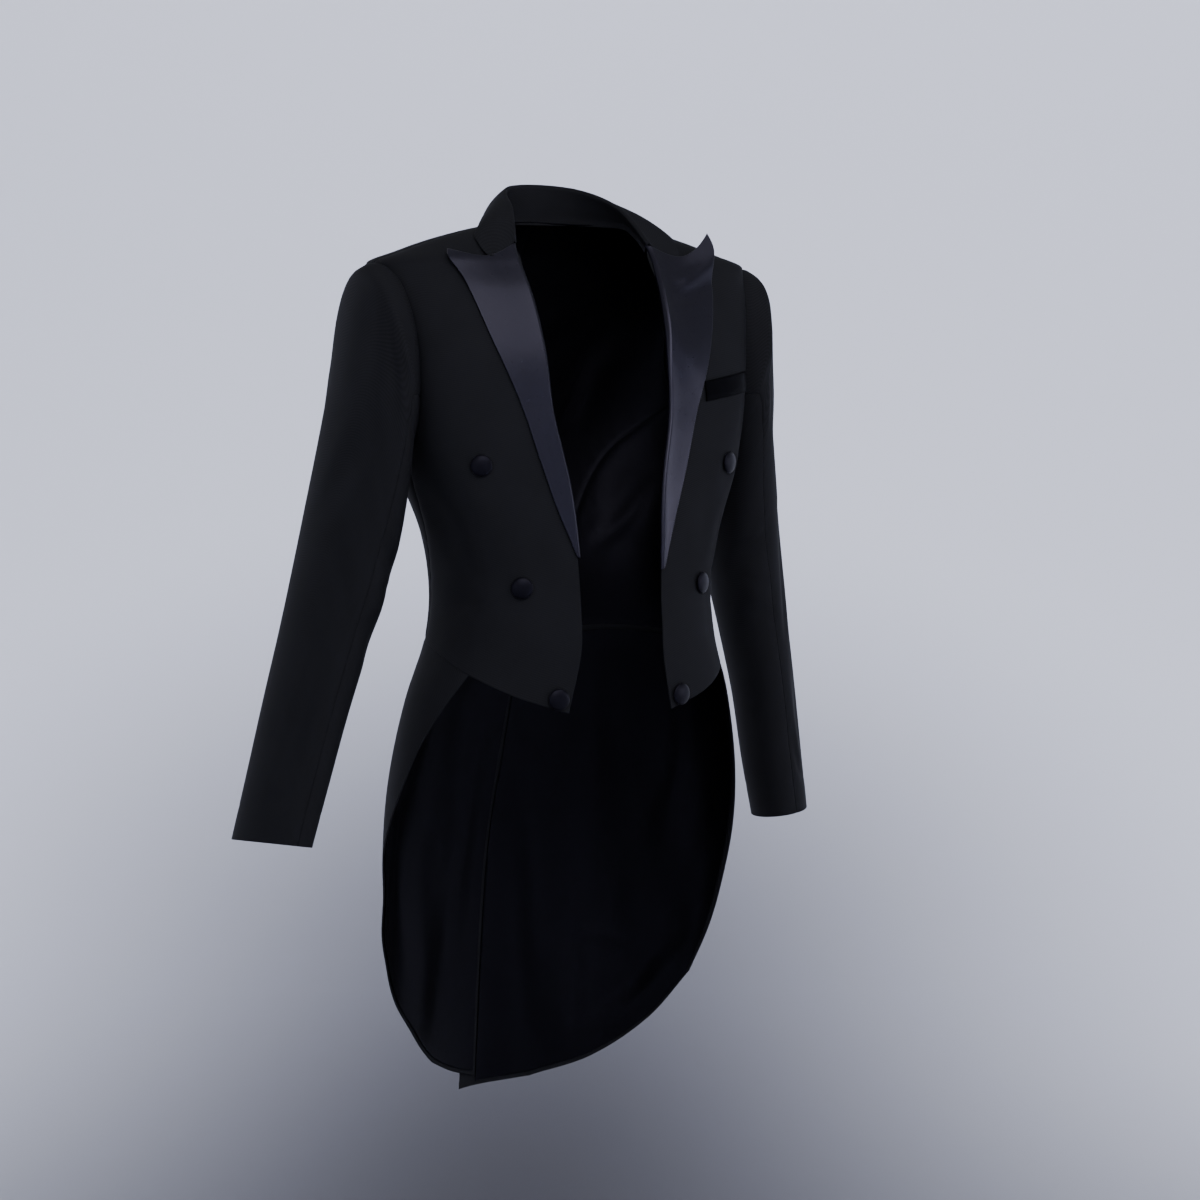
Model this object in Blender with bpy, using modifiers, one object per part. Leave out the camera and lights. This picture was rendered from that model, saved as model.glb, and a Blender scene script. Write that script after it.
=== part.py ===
"""A tailcoat, worn open: every cut piece is a thin wall of cloth on one smooth figure.

Metres, +Z up. The wearer faces -Y, their right hand is towards -X. The origin is the middle of
the neck opening, level with the points where the shoulder seams meet the collar.

The body is a surface read from a table of level rings. A place on it is (turn, height): turn is
0 degrees at the middle of the front, 90 at the shoulder and side, 180 at the middle of the back.
Each seam is drawn once as a path of such places, and the pieces on both sides of it share the path.
The pieces are worked out for the wearer's left and mirrored for the right.
"""

import math
from collections import namedtuple

import bmesh
import bpy
import numpy as np
from mathutils import Matrix, Vector

# Driving sizes, in metres and degrees.
BODY_CLOTH = 0.0018
SLEEVE_CLOTH = 0.0016
LAPEL_CLOTH = 0.0018
COLLAR_CLOTH = 0.0022
LINING_CLOTH = 0.0010
WELT_CLOTH = 0.0016
SEAM_GAP = 0.0004
LAY_GAP = 0.0004
SHOULDER_DROP = 0.045
ARMHOLE_MIDDLE = -0.140
ARMHOLE_HALF_HEIGHT = 0.095
ARMHOLE_FRONT_CUT = 14.0
ARMHOLE_BACK_CUT = 22.0
WAIST = -0.440
VENT_TOP = -0.700
BACK_TOP_FADE = 5.0
VENT_LAP_TURN = 5.0
VENT_LAP_LIFT = 0.0032
VENT_LAP_START = 0.10
VENT_LAP_EASE = 0.05
TAIL_END = {"right": -0.9425, "left": -0.957}
TAIL_LINING_EASE = 0.0012
TAIL_LINING_LAST_TURN = 178.0
TAIL_ROWS = 12
TAIL_LINING_INSET = 0.014
BUTTON_RADIUS = 0.0115
BUTTON_HEIGHT = 0.0070
BUTTON_SIDES = 14

# One level ring of the figure. round_front and round_back are 2 for an ellipse, more for a squarer ring.
Ring = namedtuple("Ring", "height half_width front back middle round_front round_back")
RINGS = (
    Ring(0.012, 0.060, 0.030, 0.066, 0.010, 2.0, 2.0),
    Ring(0.000, 0.078, 0.030, 0.076, 0.010, 2.0, 2.0),
    Ring(-0.009, 0.118, 0.029, 0.084, 0.012, 2.1, 2.1),
    Ring(-0.019, 0.156, 0.030, 0.091, 0.013, 2.3, 2.2),
    Ring(-0.031, 0.192, 0.035, 0.098, 0.014, 2.5, 2.3),
    Ring(-0.045, 0.227, 0.043, 0.103, 0.014, 2.6, 2.4),
    Ring(-0.075, 0.224, 0.060, 0.111, 0.013, 3.0, 2.5),
    Ring(-0.130, 0.212, 0.079, 0.120, 0.011, 3.5, 2.6),
    Ring(-0.200, 0.201, 0.090, 0.124, 0.008, 3.8, 2.6),
    Ring(-0.260, 0.188, 0.098, 0.119, 0.004, 3.5, 2.5),
    Ring(-0.330, 0.165, 0.106, 0.103, 0.000, 3.0, 2.3),
    Ring(-0.390, 0.158, 0.111, 0.097, 0.000, 2.6, 2.2),
    Ring(-0.440, 0.165, 0.115, 0.099, 0.000, 2.4, 2.1),
    Ring(-0.500, 0.187, 0.113, 0.118, 0.000, 2.2, 2.0),
    Ring(-0.590, 0.205, 0.112, 0.147, 0.000, 2.1, 2.0),
    Ring(-0.690, 0.212, 0.112, 0.173, 0.000, 2.0, 1.9),
    Ring(-0.820, 0.208, 0.112, 0.190, 0.000, 2.0, 1.85),
    Ring(-0.960, 0.198, 0.112, 0.202, 0.000, 2.0, 1.8),
)

# Places on the figure, (turn in degrees, height).
Place = namedtuple("Place", "turn height")
FRONT_EDGE = (
    Place(90.0, 0.000),
    Place(63.0, -0.025),
    Place(49.0, -0.074),
    Place(41.0, -0.131),
    Place(37.0, -0.202),
    Place(30.0, -0.277),
    Place(26.0, -0.351),
    Place(24.0, -0.436),
    Place(30.5, -0.514),
)
FRONT_HEM = (Place(30.5, -0.514), Place(50.0, -0.498), Place(69.0, -0.473))
WAIST_FRONT = (Place(69.0, -0.473), Place(85.0, -0.452), Place(100.0, WAIST))
WAIST_BACK = (Place(100.0, WAIST), Place(130.0, -0.434), Place(161.0, -0.440))
SIDE_SEAM = (Place(91.0, -0.235), Place(96.0, -0.330), Place(100.0, WAIST))
TAIL_FRONT = {
    "right": (
        Place(69.0, -0.473),
        Place(77.0, -0.512),
        Place(83.0, -0.548),
        Place(89.5, -0.597),
        Place(97.0, -0.645),
        Place(105.0, -0.697),
        Place(113.5, -0.744),
    ),
    "left": (
        Place(69.0, -0.473),
        Place(77.0, -0.520),
        Place(83.0, -0.590),
        Place(92.0, -0.693),
        Place(99.0, -0.767),
        Place(106.5, -0.822),
    ),
}
# How the foot bows between the middle of the back and the pleat.
TAIL_BOW = {"right": (Place(171.0, -0.9345),), "left": ()}
TAIL_FOOT = {
    "right": (
        Place(113.5, -0.744),
        Place(121.0, -0.778),
        Place(129.0, -0.812),
        Place(145.0, -0.874),
        Place(161.0, -0.920),
    ),
    "left": (Place(106.5, -0.822), Place(121.0, -0.878), Place(141.0, -0.924), Place(161.0, -0.946)),
}
PLEAT = (Place(161.0, -0.440), Place(157.0, -0.600), Place(158.0, -0.780))
PRINCESS_START = 236.0
PRINCESS_MIDDLE = (Place(132.0, -0.250), Place(148.0, -0.340), Place(161.0, -0.440))

# The lapel's outer edge and top, and how far the left one's foot lies below the right one's.
LAPEL_EDGE = (
    Place(77.0, -0.035),
    Place(68.0, -0.0685),
    Place(58.0, -0.128),
    Place(49.0, -0.193),
    Place(41.5, -0.260),
    Place(35.5, -0.305),
    Place(27.0, -0.348),
)
LAPEL_TOP = (Place(62.0, -0.029), Place(68.0, -0.0410), Place(77.0, -0.035))
LEFT_LAPEL_DROP = 0.014
LAPEL_ROLL = 0.0050
LAPEL_TIP_LIFT = {"right": 0.006, "left": 0.020}

WELT_INNER = Place(53.0, -0.168)
WELT_OUTER = Place(70.0, -0.157)
WELT_HEIGHT = 0.021

Spot = namedtuple("Spot", "name turn height")
BUTTON_SPOTS = (
    Spot("top", 61.0, -0.2547),
    Spot("middle", 50.5, -0.382),
    Spot("low", 35.5, -0.4985),
)

# A sleeve section: its outermost and innermost points, its half depth front to back, and how far
# its front is turned in towards the body, in degrees.
Section = namedtuple("Section", "outer_x outer_y outer_z inner_x inner_y inner_z half_depth turn_in")
SLEEVE_SECTIONS = (
    Section(0.2270, 0.0140, -0.0450, 0.1960, 0.0080, -0.2350, 0.0600, 0.0),
    Section(0.2445, 0.0130, -0.0530, 0.1975, 0.0120, -0.2430, 0.0660, 0.0),
    Section(0.2515, 0.0160, -0.0800, 0.1985, 0.0170, -0.2590, 0.0685, 1.0),
    Section(0.2570, 0.0195, -0.1350, 0.1995, 0.0220, -0.2820, 0.0690, 2.0),
    Section(0.2665, 0.0250, -0.2020, 0.2010, 0.0280, -0.3120, 0.0665, 4.0),
    Section(0.2790, 0.0320, -0.2750, 0.2050, 0.0340, -0.3480, 0.0630, 6.0),
    Section(0.2915, 0.0390, -0.3450, 0.2160, 0.0390, -0.3920, 0.0590, 8.0),
    Section(0.3065, 0.0450, -0.4200, 0.2340, 0.0455, -0.4500, 0.0545, 10.0),
    Section(0.3240, 0.0515, -0.5000, 0.2540, 0.0530, -0.5170, 0.0510, 12.0),
    Section(0.3400, 0.0580, -0.5780, 0.2720, 0.0630, -0.5900, 0.0485, 14.0),
    Section(0.3530, 0.0645, -0.6460, 0.2900, 0.0700, -0.6560, 0.0475, 16.0),
)
SLEEVE_ROWS = (0.0, 0.35, 0.8, 1.4, 2.0, 2.6, 3.2, 3.8, 4.4, 5.0, 5.6, 6.2, 6.9, 7.7, 8.5, 9.3, 10.0)
HIND_SEAM = -105.0
FRONT_SEAM_TOP = 100.0
FRONT_SEAM_CUFF = 78.0
TOP_SLEEVE_COLUMNS = 13
UNDER_SLEEVE_COLUMNS = 9

# The largest folds. along and around say where a fold's middle is, on the body in height and turn,
# on a sleeve in sections and degrees; lean is how far it moves around for each unit along.
Fold = namedtuple("Fold", "side along around half_along half_around lean depth")
SLEEVE_FOLDS = (
    Fold("both", 2.4, 62.0, 1.6, 20.0, 9.0, -0.0040),
    Fold("both", 4.6, 30.0, 1.3, 26.0, -22.0, -0.0035),
    Fold("both", 5.6, 118.0, 0.5, 46.0, 10.0, -0.0026),
    Fold("both", 6.3, 105.0, 0.4, 50.0, 20.0, 0.0016),
    Fold("both", 6.9, 120.0, 0.5, 44.0, 16.0, -0.0022),
    Fold("both", 5.2, -120.0, 1.2, 24.0, 14.0, -0.0040),
    Fold("both", 8.6, 40.0, 1.2, 22.0, -8.0, -0.0030),
)
BODY_FOLDS = (
    Fold("both", -0.325, 80.0, 0.055, 12.0, 60.0, -0.0035),
    Fold("both", -0.390, 74.0, 0.040, 12.0, -70.0, -0.0030),
    Fold("both", -0.290, 122.0, 0.060, 12.0, -40.0, -0.0035),
    Fold("both", -0.660, 112.0, 0.150, 13.0, 20.0, -0.0060),
    Fold("both", -0.720, 137.0, 0.180, 14.0, -12.0, 0.0080),
    Fold("left", -0.860, 152.0, 0.110, 12.0, 10.0, -0.0035),
    Fold("right", -0.820, 150.0, 0.120, 13.0, 16.0, -0.0060),
)

# A station of the collar from the gorge to the middle of the back: the seam at the neck, the fold
# at the top and the leaf's outer edge.
CollarStation = namedtuple("CollarStation", "seam fold edge sag")
COLLAR = (
    CollarStation((0.0840, -0.0270, -0.0250), (0.0850, -0.0310, -0.0190), (0.1270, -0.0350, -0.0335), 0.0030),
    CollarStation((0.0810, -0.0130, -0.0110), (0.0775, -0.0160, -0.0010), (0.1240, -0.0190, -0.0150), 0.0010),
    CollarStation((0.0770, 0.0060, 0.0005), (0.0690, 0.0040, 0.0180), (0.1060, 0.0050, -0.0010), 0.0),
    CollarStation((0.0690, 0.0340, 0.0034), (0.0600, 0.0300, 0.0300), (0.0830, 0.0380, 0.0030), 0.0),
    CollarStation((0.0520, 0.0580, 0.0053), (0.0450, 0.0530, 0.0380), (0.0640, 0.0670, 0.0020), 0.0),
    CollarStation((0.0270, 0.0700, 0.0058), (0.0240, 0.0650, 0.0415), (0.0360, 0.0850, -0.0010), 0.0),
    CollarStation((0.0000, 0.0730, 0.0058), (0.0000, 0.0690, 0.0425), (0.0000, 0.0900, -0.0020), 0.0),
)
COLLAR_COLUMNS = 22
COLLAR_BULGE = 0.0030
STAND_BULGE = 0.0010
COLLAR_TUCK = 0.0016
LEFT_COLLAR_LIFT = 0.0080

Finish = namedtuple("Finish", "name colour roughness")
SUITING = Finish("wool_blend_suiting", "16171b", 0.78)
SATIN = Finish("lapel_satin", "2d2c37", 0.34)
LINING = Finish("tail_lining", "0a0a0c", 0.42)
BUTTON_SATIN = Finish("button_satin", "26252d", 0.40)


class Track:
    """A smooth curve through (key, value) pairs that never swings past them."""

    def __init__(self, keys, values):
        order = np.argsort(keys)
        self.keys = np.asarray(keys, float)[order]
        self.values = np.asarray(values, float)[order]
        steps = np.diff(self.values) / np.diff(self.keys)
        slopes = np.concatenate([steps[:1], (steps[1:] + steps[:-1]) / 2, steps[-1:]])
        for i in range(1, len(slopes) - 1):
            if steps[i - 1] * steps[i] <= 0:
                slopes[i] = 0.0
            else:
                limit = 3 * min(abs(steps[i - 1]), abs(steps[i]))
                slopes[i] = math.copysign(min(abs(slopes[i]), limit), slopes[i])
        self.slopes = slopes

    def __call__(self, key):
        """Reads the curve at the key, held level past both ends."""
        key = min(max(key, self.keys[0]), self.keys[-1])
        i = min(max(np.searchsorted(self.keys, key) - 1, 0), len(self.keys) - 2)
        width = self.keys[i + 1] - self.keys[i]
        t = (key - self.keys[i]) / width
        return (
            self.values[i] * (1 + 2 * t) * (1 - t) ** 2
            + self.values[i + 1] * t * t * (3 - 2 * t)
            + self.slopes[i] * width * t * (1 - t) ** 2
            + self.slopes[i + 1] * width * t * t * (t - 1)
        )


RING_TRACKS = {
    column: Track([ring.height for ring in RINGS], [getattr(ring, column) for ring in RINGS])
    for column in Ring._fields[1:]
}
SECTION_TRACKS = {
    column: Track(range(len(SLEEVE_SECTIONS)), [getattr(row, column) for row in SLEEVE_SECTIONS])
    for column in Section._fields
}


def bump(t):
    """1 at t = 0, falling softly to 0 at t = -1 and 1."""
    return math.cos(min(abs(t), 1.0) * math.pi / 2) ** 2


def belly(t):
    """0 at t = 0 and 1, with a full round between."""
    return math.sin(math.pi * min(max(t, 0.0), 1.0)) ** 0.8


def fold_depth(folds, side, along, around):
    """How far all folds together move the cloth out at one place."""
    total = 0.0
    for fold in folds:
        if fold.side in ("both", side):
            off_along = along - fold.along
            off_around = around - fold.around - fold.lean * off_along
            total += fold.depth * bump(off_along / fold.half_along) * bump(off_around / fold.half_around)
    return total


def body_point(side, turn, height):
    """The place on the figure's left half, before its folds."""
    ring = {column: track(height) for column, track in RING_TRACKS.items()}
    across, forward = math.sin(math.radians(turn)), math.cos(math.radians(turn))
    if forward >= 0:
        depth, roundness = ring["front"] + ring["middle"], ring["round_front"]
    else:
        depth, roundness = ring["back"] - ring["middle"], ring["round_back"]
    reach = (abs(across) / ring["half_width"]) ** roundness + (abs(forward) / depth) ** roundness
    radius = reach ** (-1 / roundness)
    return np.array([radius * across, ring["middle"] - radius * forward, height])


def body_lift(side, turn, height):
    """How far the folds, and the left tail's lap over the vent, move the body's cloth out."""
    lift = fold_depth(BODY_FOLDS, side, height, turn)
    if side == "left":
        below = min(max((VENT_TOP + VENT_LAP_START - height) / VENT_LAP_EASE, 0.0), 1.0)
        lift += VENT_LAP_LIFT * below * (1.0 if turn > 178.0 else bump((turn - 178.0) / 12.0))
    return lift


def armhole_place(around):
    """The place on the body of the armhole at around degrees: 0 at the shoulder, 90 at the front."""
    swing = math.sin(math.radians(around))
    cut = ARMHOLE_FRONT_CUT if swing > 0 else ARMHOLE_BACK_CUT
    height = ARMHOLE_MIDDLE + ARMHOLE_HALF_HEIGHT * math.cos(math.radians(around))
    return Place(90.5 - cut * math.copysign(abs(swing) ** 0.85, swing), height)


def sleeve_point(side, around, along):
    """The place on the left sleeve: around is 0 outside, 90 in front, along counts sections."""
    row = {column: track(along) for column, track in SECTION_TRACKS.items()}
    outer = np.array([row["outer_x"], row["outer_y"], row["outer_z"]])
    inner = np.array([row["inner_x"], row["inner_y"], row["inner_z"]])
    turn_in = math.radians(row["turn_in"])
    forward = np.array([-math.sin(turn_in), -math.cos(turn_in), 0.0]) * row["half_depth"]
    angle = math.radians(around)
    point = (outer + inner) / 2 + (outer - inner) / 2 * math.cos(angle) + forward * math.sin(angle)
    if along >= 1:
        return point
    place = armhole_place(around)
    seam = body_point(side, place.turn, place.height) + np.array([SEAM_GAP * 2, 0.0, 0.0])
    share = math.sin(along * math.pi / 2)
    return seam * (1 - share) + point * share


def sleeve_lift(side, around, along):
    """How far the folds move the sleeve's cloth out."""
    around = (around + 180) % 360 - 180
    fade = min(along / 1.5, 1.0)
    return fold_depth(SLEEVE_FOLDS, side, along, around) * fade


def normal_of(surface, side, u, v, step_u, step_v):
    """The outward normal of a surface whose u runs round and whose v runs down."""
    du = surface(side, u + step_u, v) - surface(side, u - step_u, v)
    dv = surface(side, u, v + step_v) - surface(side, u, v - step_v)
    normal = np.cross(dv, du)
    return normal / np.linalg.norm(normal)


def body_normal(side, turn, height):
    """The body surface's outward normal. Height runs up, so the sign is turned round."""
    return -normal_of(body_point, side, turn, height, 1.0, 0.004)


def sleeve_normal(side, around, along):
    """The sleeve surface's outward normal. Around runs from outside to front, so it is turned round."""
    inside = max(along, 0.12)
    return -normal_of(sleeve_point, side, around, inside, 2.0, 0.1)


def path(places, count):
    """count + 1 places at even steps along a smooth path through the named ones."""
    rows = np.array([tuple(place) for place in places])
    points = np.array([body_point("left", turn, height) for turn, height in rows])
    length = np.concatenate([[0.0], np.cumsum(np.linalg.norm(np.diff(points, axis=0), axis=1))])
    turn, height = Track(length, rows[:, 0]), Track(length, rows[:, 1])
    return np.array([(turn(at), height(at)) for at in np.linspace(0, length[-1], count + 1)])


def join(*paths):
    """Paths end to end, each shared corner once."""
    return np.concatenate([paths[0]] + [more[1:] for more in paths[1:]])


def armhole_path(start, end, count):
    return np.array([tuple(armhole_place(at)) for at in np.linspace(start, end, count + 1)])


def coons(top, bottom, left, right, top_fade=1.0):
    """A grid of places inside four paths. Top and bottom run left to right, left and right run down.

    top_fade above 1 makes the top path's bow die away sooner down the grid.
    """
    u = np.linspace(0, 1, len(top))[None, :, None]
    v = np.linspace(0, 1, len(left))[:, None, None]
    top_bow = top[None] - (1 - u) * top[0] - u * top[-1]
    bottom_bow = bottom[None] - (1 - u) * bottom[0] - u * bottom[-1]
    across = (1 - u) * left[:, None] + u * right[:, None]
    return across + (1 - v) ** top_fade * top_bow + v * bottom_bow


def draw_in(grid, surface, side, by):
    """Moves a grid's rim in along the surface by half the seam gap, so that neighbours don't touch."""
    moved = grid.copy()
    rows, columns = grid.shape[:2]
    for i in range(rows):
        for j in range(columns):
            for di, dj in ((1, 0), (-1, 0), (0, 1), (0, -1)):
                at_rim = not (0 <= i - di < rows and 0 <= j - dj < columns)
                if not at_rim or not (0 <= i + di < rows and 0 <= j + dj < columns):
                    continue
                here, inward = grid[i, j], grid[i + di, j + dj]
                reach = np.linalg.norm(surface(side, *inward) - surface(side, *here))
                moved[i, j] += (inward - here) * min(by / max(reach, 1e-6), 0.4)
    return moved


def linear(hex_colour):
    """An sRGB hex colour as linear RGBA."""
    channels = [int(hex_colour[i : i + 2], 16) / 255 for i in (0, 2, 4)]
    return [c / 12.92 if c <= 0.04045 else ((c + 0.055) / 1.055) ** 2.4 for c in channels] + [1.0]


def material_of(finish):
    """The finish's material, made once."""
    material = bpy.data.materials.get(finish.name)
    if material is None:
        material = bpy.data.materials.new(finish.name)
        material.use_nodes = True
        shader = material.node_tree.nodes["Principled BSDF"]
        shader.inputs["Base Color"].default_value = linear(finish.colour)
        shader.inputs["Roughness"].default_value = finish.roughness
        shader.inputs["Metallic"].default_value = 0.0
    return material


def add_wall(collection, name, outer, inner, finish, mirrored):
    """A closed wall between two grids of points: its faces, its back and its four rims."""
    rows, columns = outer.shape[:2]
    mesh = bpy.data.meshes.new(name)
    body = bmesh.new()
    flip = Vector((-1.0, 1.0, 1.0)) if mirrored else Vector((1.0, 1.0, 1.0))
    front = [[body.verts.new(Vector(p) * flip) for p in row] for row in outer]
    back = [[body.verts.new(Vector(p) * flip) for p in row] for row in inner]
    for i in range(rows - 1):
        for j in range(columns - 1):
            body.faces.new((front[i][j], front[i][j + 1], front[i + 1][j + 1], front[i + 1][j]))
            body.faces.new((back[i][j], back[i + 1][j], back[i + 1][j + 1], back[i][j + 1]))
    rim = [(0, j) for j in range(columns)] + [(i, columns - 1) for i in range(1, rows)]
    rim += [(rows - 1, j) for j in range(columns - 2, -1, -1)] + [(i, 0) for i in range(rows - 2, 0, -1)]
    for (i, j), (k, m) in zip(rim, rim[1:] + rim[:1]):
        body.faces.new((front[i][j], back[i][j], back[k][m], front[k][m]))
    bmesh.ops.recalc_face_normals(body, faces=body.faces[:])
    body.to_mesh(mesh)
    body.free()
    mesh.materials.append(material_of(finish))
    mesh.shade_smooth()
    mesh.set_sharp_from_angle(angle=math.radians(40))
    piece = bpy.data.objects.new(name, mesh)
    collection.objects.link(piece)
    return piece


def wall_on_body(collection, name, side, grid, thickness, finish, lift=None, sink=0.0, gap=SEAM_GAP / 2):
    """A wall on the body's surface. lift(i, j) adds to the folds, and sink moves the wall in."""
    grid = draw_in(grid, body_point, side, gap)
    outer = np.zeros(grid.shape[:2] + (3,))
    inner = np.zeros_like(outer)
    for i, row in enumerate(grid):
        for j, (turn, height) in enumerate(row):
            normal = body_normal(side, turn, height)
            out = body_lift(side, turn, height) - sink + (lift(i, j) if lift else 0.0)
            outer[i, j] = body_point(side, turn, height) + normal * out
            inner[i, j] = outer[i, j] - normal * thickness
    return add_wall(collection, name, outer, inner, finish, side == "right")


def add_fronts(collection, side):
    """The front: shoulder seam, roll and front edge, cut-away hem, armhole and side seam."""
    top = path((Place(90.0, 0.0), Place(90.0, -0.024), Place(90.0, -SHOULDER_DROP)), 11)
    bottom = join(path(FRONT_HEM, 6), path(WAIST_FRONT, 5))
    left = path(FRONT_EDGE, 20)
    right = join(armhole_path(0.0, 178.0, 10), path(side_seam(), 10))
    grid = coons(top, bottom, left, right)
    wall_on_body(collection, f"front_{side}", side, grid, BODY_CLOTH, SUITING)


def side_seam():
    """The side seam's places, from the armhole's foot."""
    return (armhole_place(178.0),) + SIDE_SEAM[1:]


def princess_seam():
    """The curved seam between back and side body, from the armhole to the waist."""
    return (armhole_place(PRINCESS_START),) + PRINCESS_MIDDLE


def pleat(side):
    """The pleat line's path, from the waist seam down to the tail's foot."""
    return path(PLEAT + TAIL_FOOT[side][-1:], TAIL_ROWS)


def add_side_body(collection, side):
    """The side body, between the side seam and the curved back seam."""
    top = armhole_path(178.0, PRINCESS_START, 8)
    grid = coons(top, path(WAIST_BACK, 8), path(side_seam(), 10), path(princess_seam(), 10))
    wall_on_body(collection, f"side_body_{side}", side, grid, BODY_CLOTH, SUITING)


def back_grid(side):
    """Places on the back: neck and shoulder above, armhole, curved seam and pleat outside, vent inside."""
    neck = path((Place(180.0, 0.005), Place(135.0, 0.003), Place(90.0, 0.0)), 4)
    shoulder = path((Place(90.0, 0.0), Place(90.0, -0.024), Place(90.0, -SHOULDER_DROP)), 5)
    right = join(armhole_path(360.0, PRINCESS_START, 9), path(princess_seam(), 10), pleat(side))
    lap = VENT_LAP_TURN if side == "left" else 0.0
    end = TAIL_END[side]
    middle = join(
        path((Place(180.0, 0.005), Place(180.0, -0.10), Place(180.0, -0.20)), 9),
        path((Place(180.0, -0.20), Place(180.0, -0.32), Place(180.0, WAIST)), 10),
        path((Place(180.0, WAIST), Place(180.0, VENT_TOP), Place(180.0, end)), TAIL_ROWS),
    )
    middle[:, 0] += lap * (middle[:, 1] < VENT_TOP + 0.002)
    foot = path((Place(180.0 + lap, end), *TAIL_BOW[side], TAIL_FOOT[side][-1]), 9)
    return coons(join(neck, shoulder), foot, middle, right, top_fade=BACK_TOP_FADE)


def skirt_grid(side):
    """Places on the skirt: the waist seam above, the tail's front edge, its foot and the pleat."""
    top = join(path(WAIST_FRONT, 5), path(WAIST_BACK, 8))
    return coons(top, path(TAIL_FOOT[side], 13), path(TAIL_FRONT[side], TAIL_ROWS), pleat(side))


def add_back(collection, side):
    """The back, cut in one with the middle of the tail. The left one laps over the vent."""
    wall_on_body(collection, f"back_{side}", side, back_grid(side), BODY_CLOTH, SUITING)


def add_skirt(collection, side):
    """The skirt, from the waist seam down the tail to its rounded foot."""
    wall_on_body(collection, f"skirt_{side}", side, skirt_grid(side), BODY_CLOTH, SUITING)


def add_tail_lining(collection, side):
    """The tail's lining, a layer inside the skirt and the back, short of their edges."""
    tail = back_grid(side)[-TAIL_ROWS - 1 :, ::-1]
    grid = np.concatenate([skirt_grid(side), tail[:, 1:]], axis=1)
    grid = draw_in(grid, body_point, side, TAIL_LINING_INSET)
    grid[..., 0] = np.minimum(grid[..., 0], TAIL_LINING_LAST_TURN)
    sink = BODY_CLOTH + TAIL_LINING_EASE
    wall_on_body(collection, f"tail_lining_{side}", side, grid, LINING_CLOTH, LINING, sink=sink)


def add_lapel(collection, side):
    """The peaked lapel, laid on the front: a soft roll along the front edge and a lifted peak."""
    drop = LEFT_LAPEL_DROP if side == "left" else 0.0
    foot = Place(26.0, -0.351 - drop)
    roll = FRONT_EDGE[1:6] + (foot,)
    edge = LAPEL_EDGE[:-1] + (Place(LAPEL_EDGE[-1].turn, LAPEL_EDGE[-1].height - drop),)
    columns, rows = 8, 16
    bottom = path((foot, Place(edge[-1].turn + 2.0, foot.height + 0.001)), columns)
    edge = edge[:-1] + (Place(*bottom[-1]),)
    grid = coons(path(LAPEL_TOP, columns), bottom, path(roll, rows), path(edge, rows))
    tip = LAPEL_TIP_LIFT[side]

    def lift(i, j):
        across, down = j / columns, i / rows
        roll_height = LAPEL_ROLL * belly(across)
        peak = tip * across**2 * max(1 - down / 0.22, 0.0) ** 2
        return LAPEL_CLOTH + LAY_GAP * 1.5 + roll_height * (1 - 0.6 * down) + peak

    wall_on_body(collection, f"lapel_{side}", side, grid, LAPEL_CLOTH, SATIN, lift=lift)


def add_welt(collection):
    """The breast welt, a strip laid on the left front."""
    top = path((WELT_INNER, WELT_OUTER), 8)
    bottom = path(
        (
            Place(WELT_INNER.turn - 0.5, WELT_INNER.height - WELT_HEIGHT),
            Place(WELT_OUTER.turn, WELT_OUTER.height - WELT_HEIGHT),
        ),
        8,
    )
    left = np.linspace(top[0], bottom[0], 3)
    right = np.linspace(top[-1], bottom[-1], 3)
    grid = coons(top, bottom, left, right)
    wall_on_body(
        collection,
        "breast_welt",
        "left",
        grid,
        WELT_CLOTH,
        SATIN,
        lift=lambda i, j: WELT_CLOTH + LAY_GAP * 2,
    )


def add_sleeve(collection, side):
    """The top sleeve and the under sleeve, two walls on one tube with a seam in front and behind."""
    front = np.interp(SLEEVE_ROWS, (SLEEVE_ROWS[0], SLEEVE_ROWS[-1]), (FRONT_SEAM_TOP, FRONT_SEAM_CUFF))
    pieces = (
        ("top_sleeve", HIND_SEAM + 0 * front, front, TOP_SLEEVE_COLUMNS),
        ("under_sleeve", front, HIND_SEAM + 360 + 0 * front, UNDER_SLEEVE_COLUMNS),
    )
    for name, start, end, columns in pieces:
        share = np.linspace(0, 1, columns + 1)[None]
        around = start[:, None] * (1 - share) + end[:, None] * share
        along = np.repeat(np.array(SLEEVE_ROWS)[:, None], columns + 1, axis=1)
        grid = draw_in(np.stack([around, along], axis=-1), sleeve_point, side, SEAM_GAP)
        outer = np.zeros(grid.shape[:2] + (3,))
        inner = np.zeros_like(outer)
        for i, row in enumerate(grid):
            for j, (at_around, at_along) in enumerate(row):
                normal = sleeve_normal(side, at_around, at_along)
                lift = sleeve_lift(side, at_around, at_along)
                outer[i, j] = sleeve_point(side, at_around, at_along) + normal * lift
                inner[i, j] = outer[i, j] - normal * SLEEVE_CLOTH
        add_wall(collection, f"{name}_{side}", outer, inner, SUITING, side == "right")


def collar_tracks(part):
    """Smooth x, y and z curves along the whole collar, from the left gorge round to the right one."""
    left = [np.array(getattr(station, part)) for station in COLLAR]
    right = [point * (-1, 1, 1) for point in reversed(left[:-1])]
    if part == "edge":
        left = [point + (0, 0, LEFT_COLLAR_LIFT * bump(i / 4)) for i, point in enumerate(left)]
    points = left + right
    return [Track(range(len(points)), [point[axis] for point in points]) for axis in range(3)]


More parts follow.
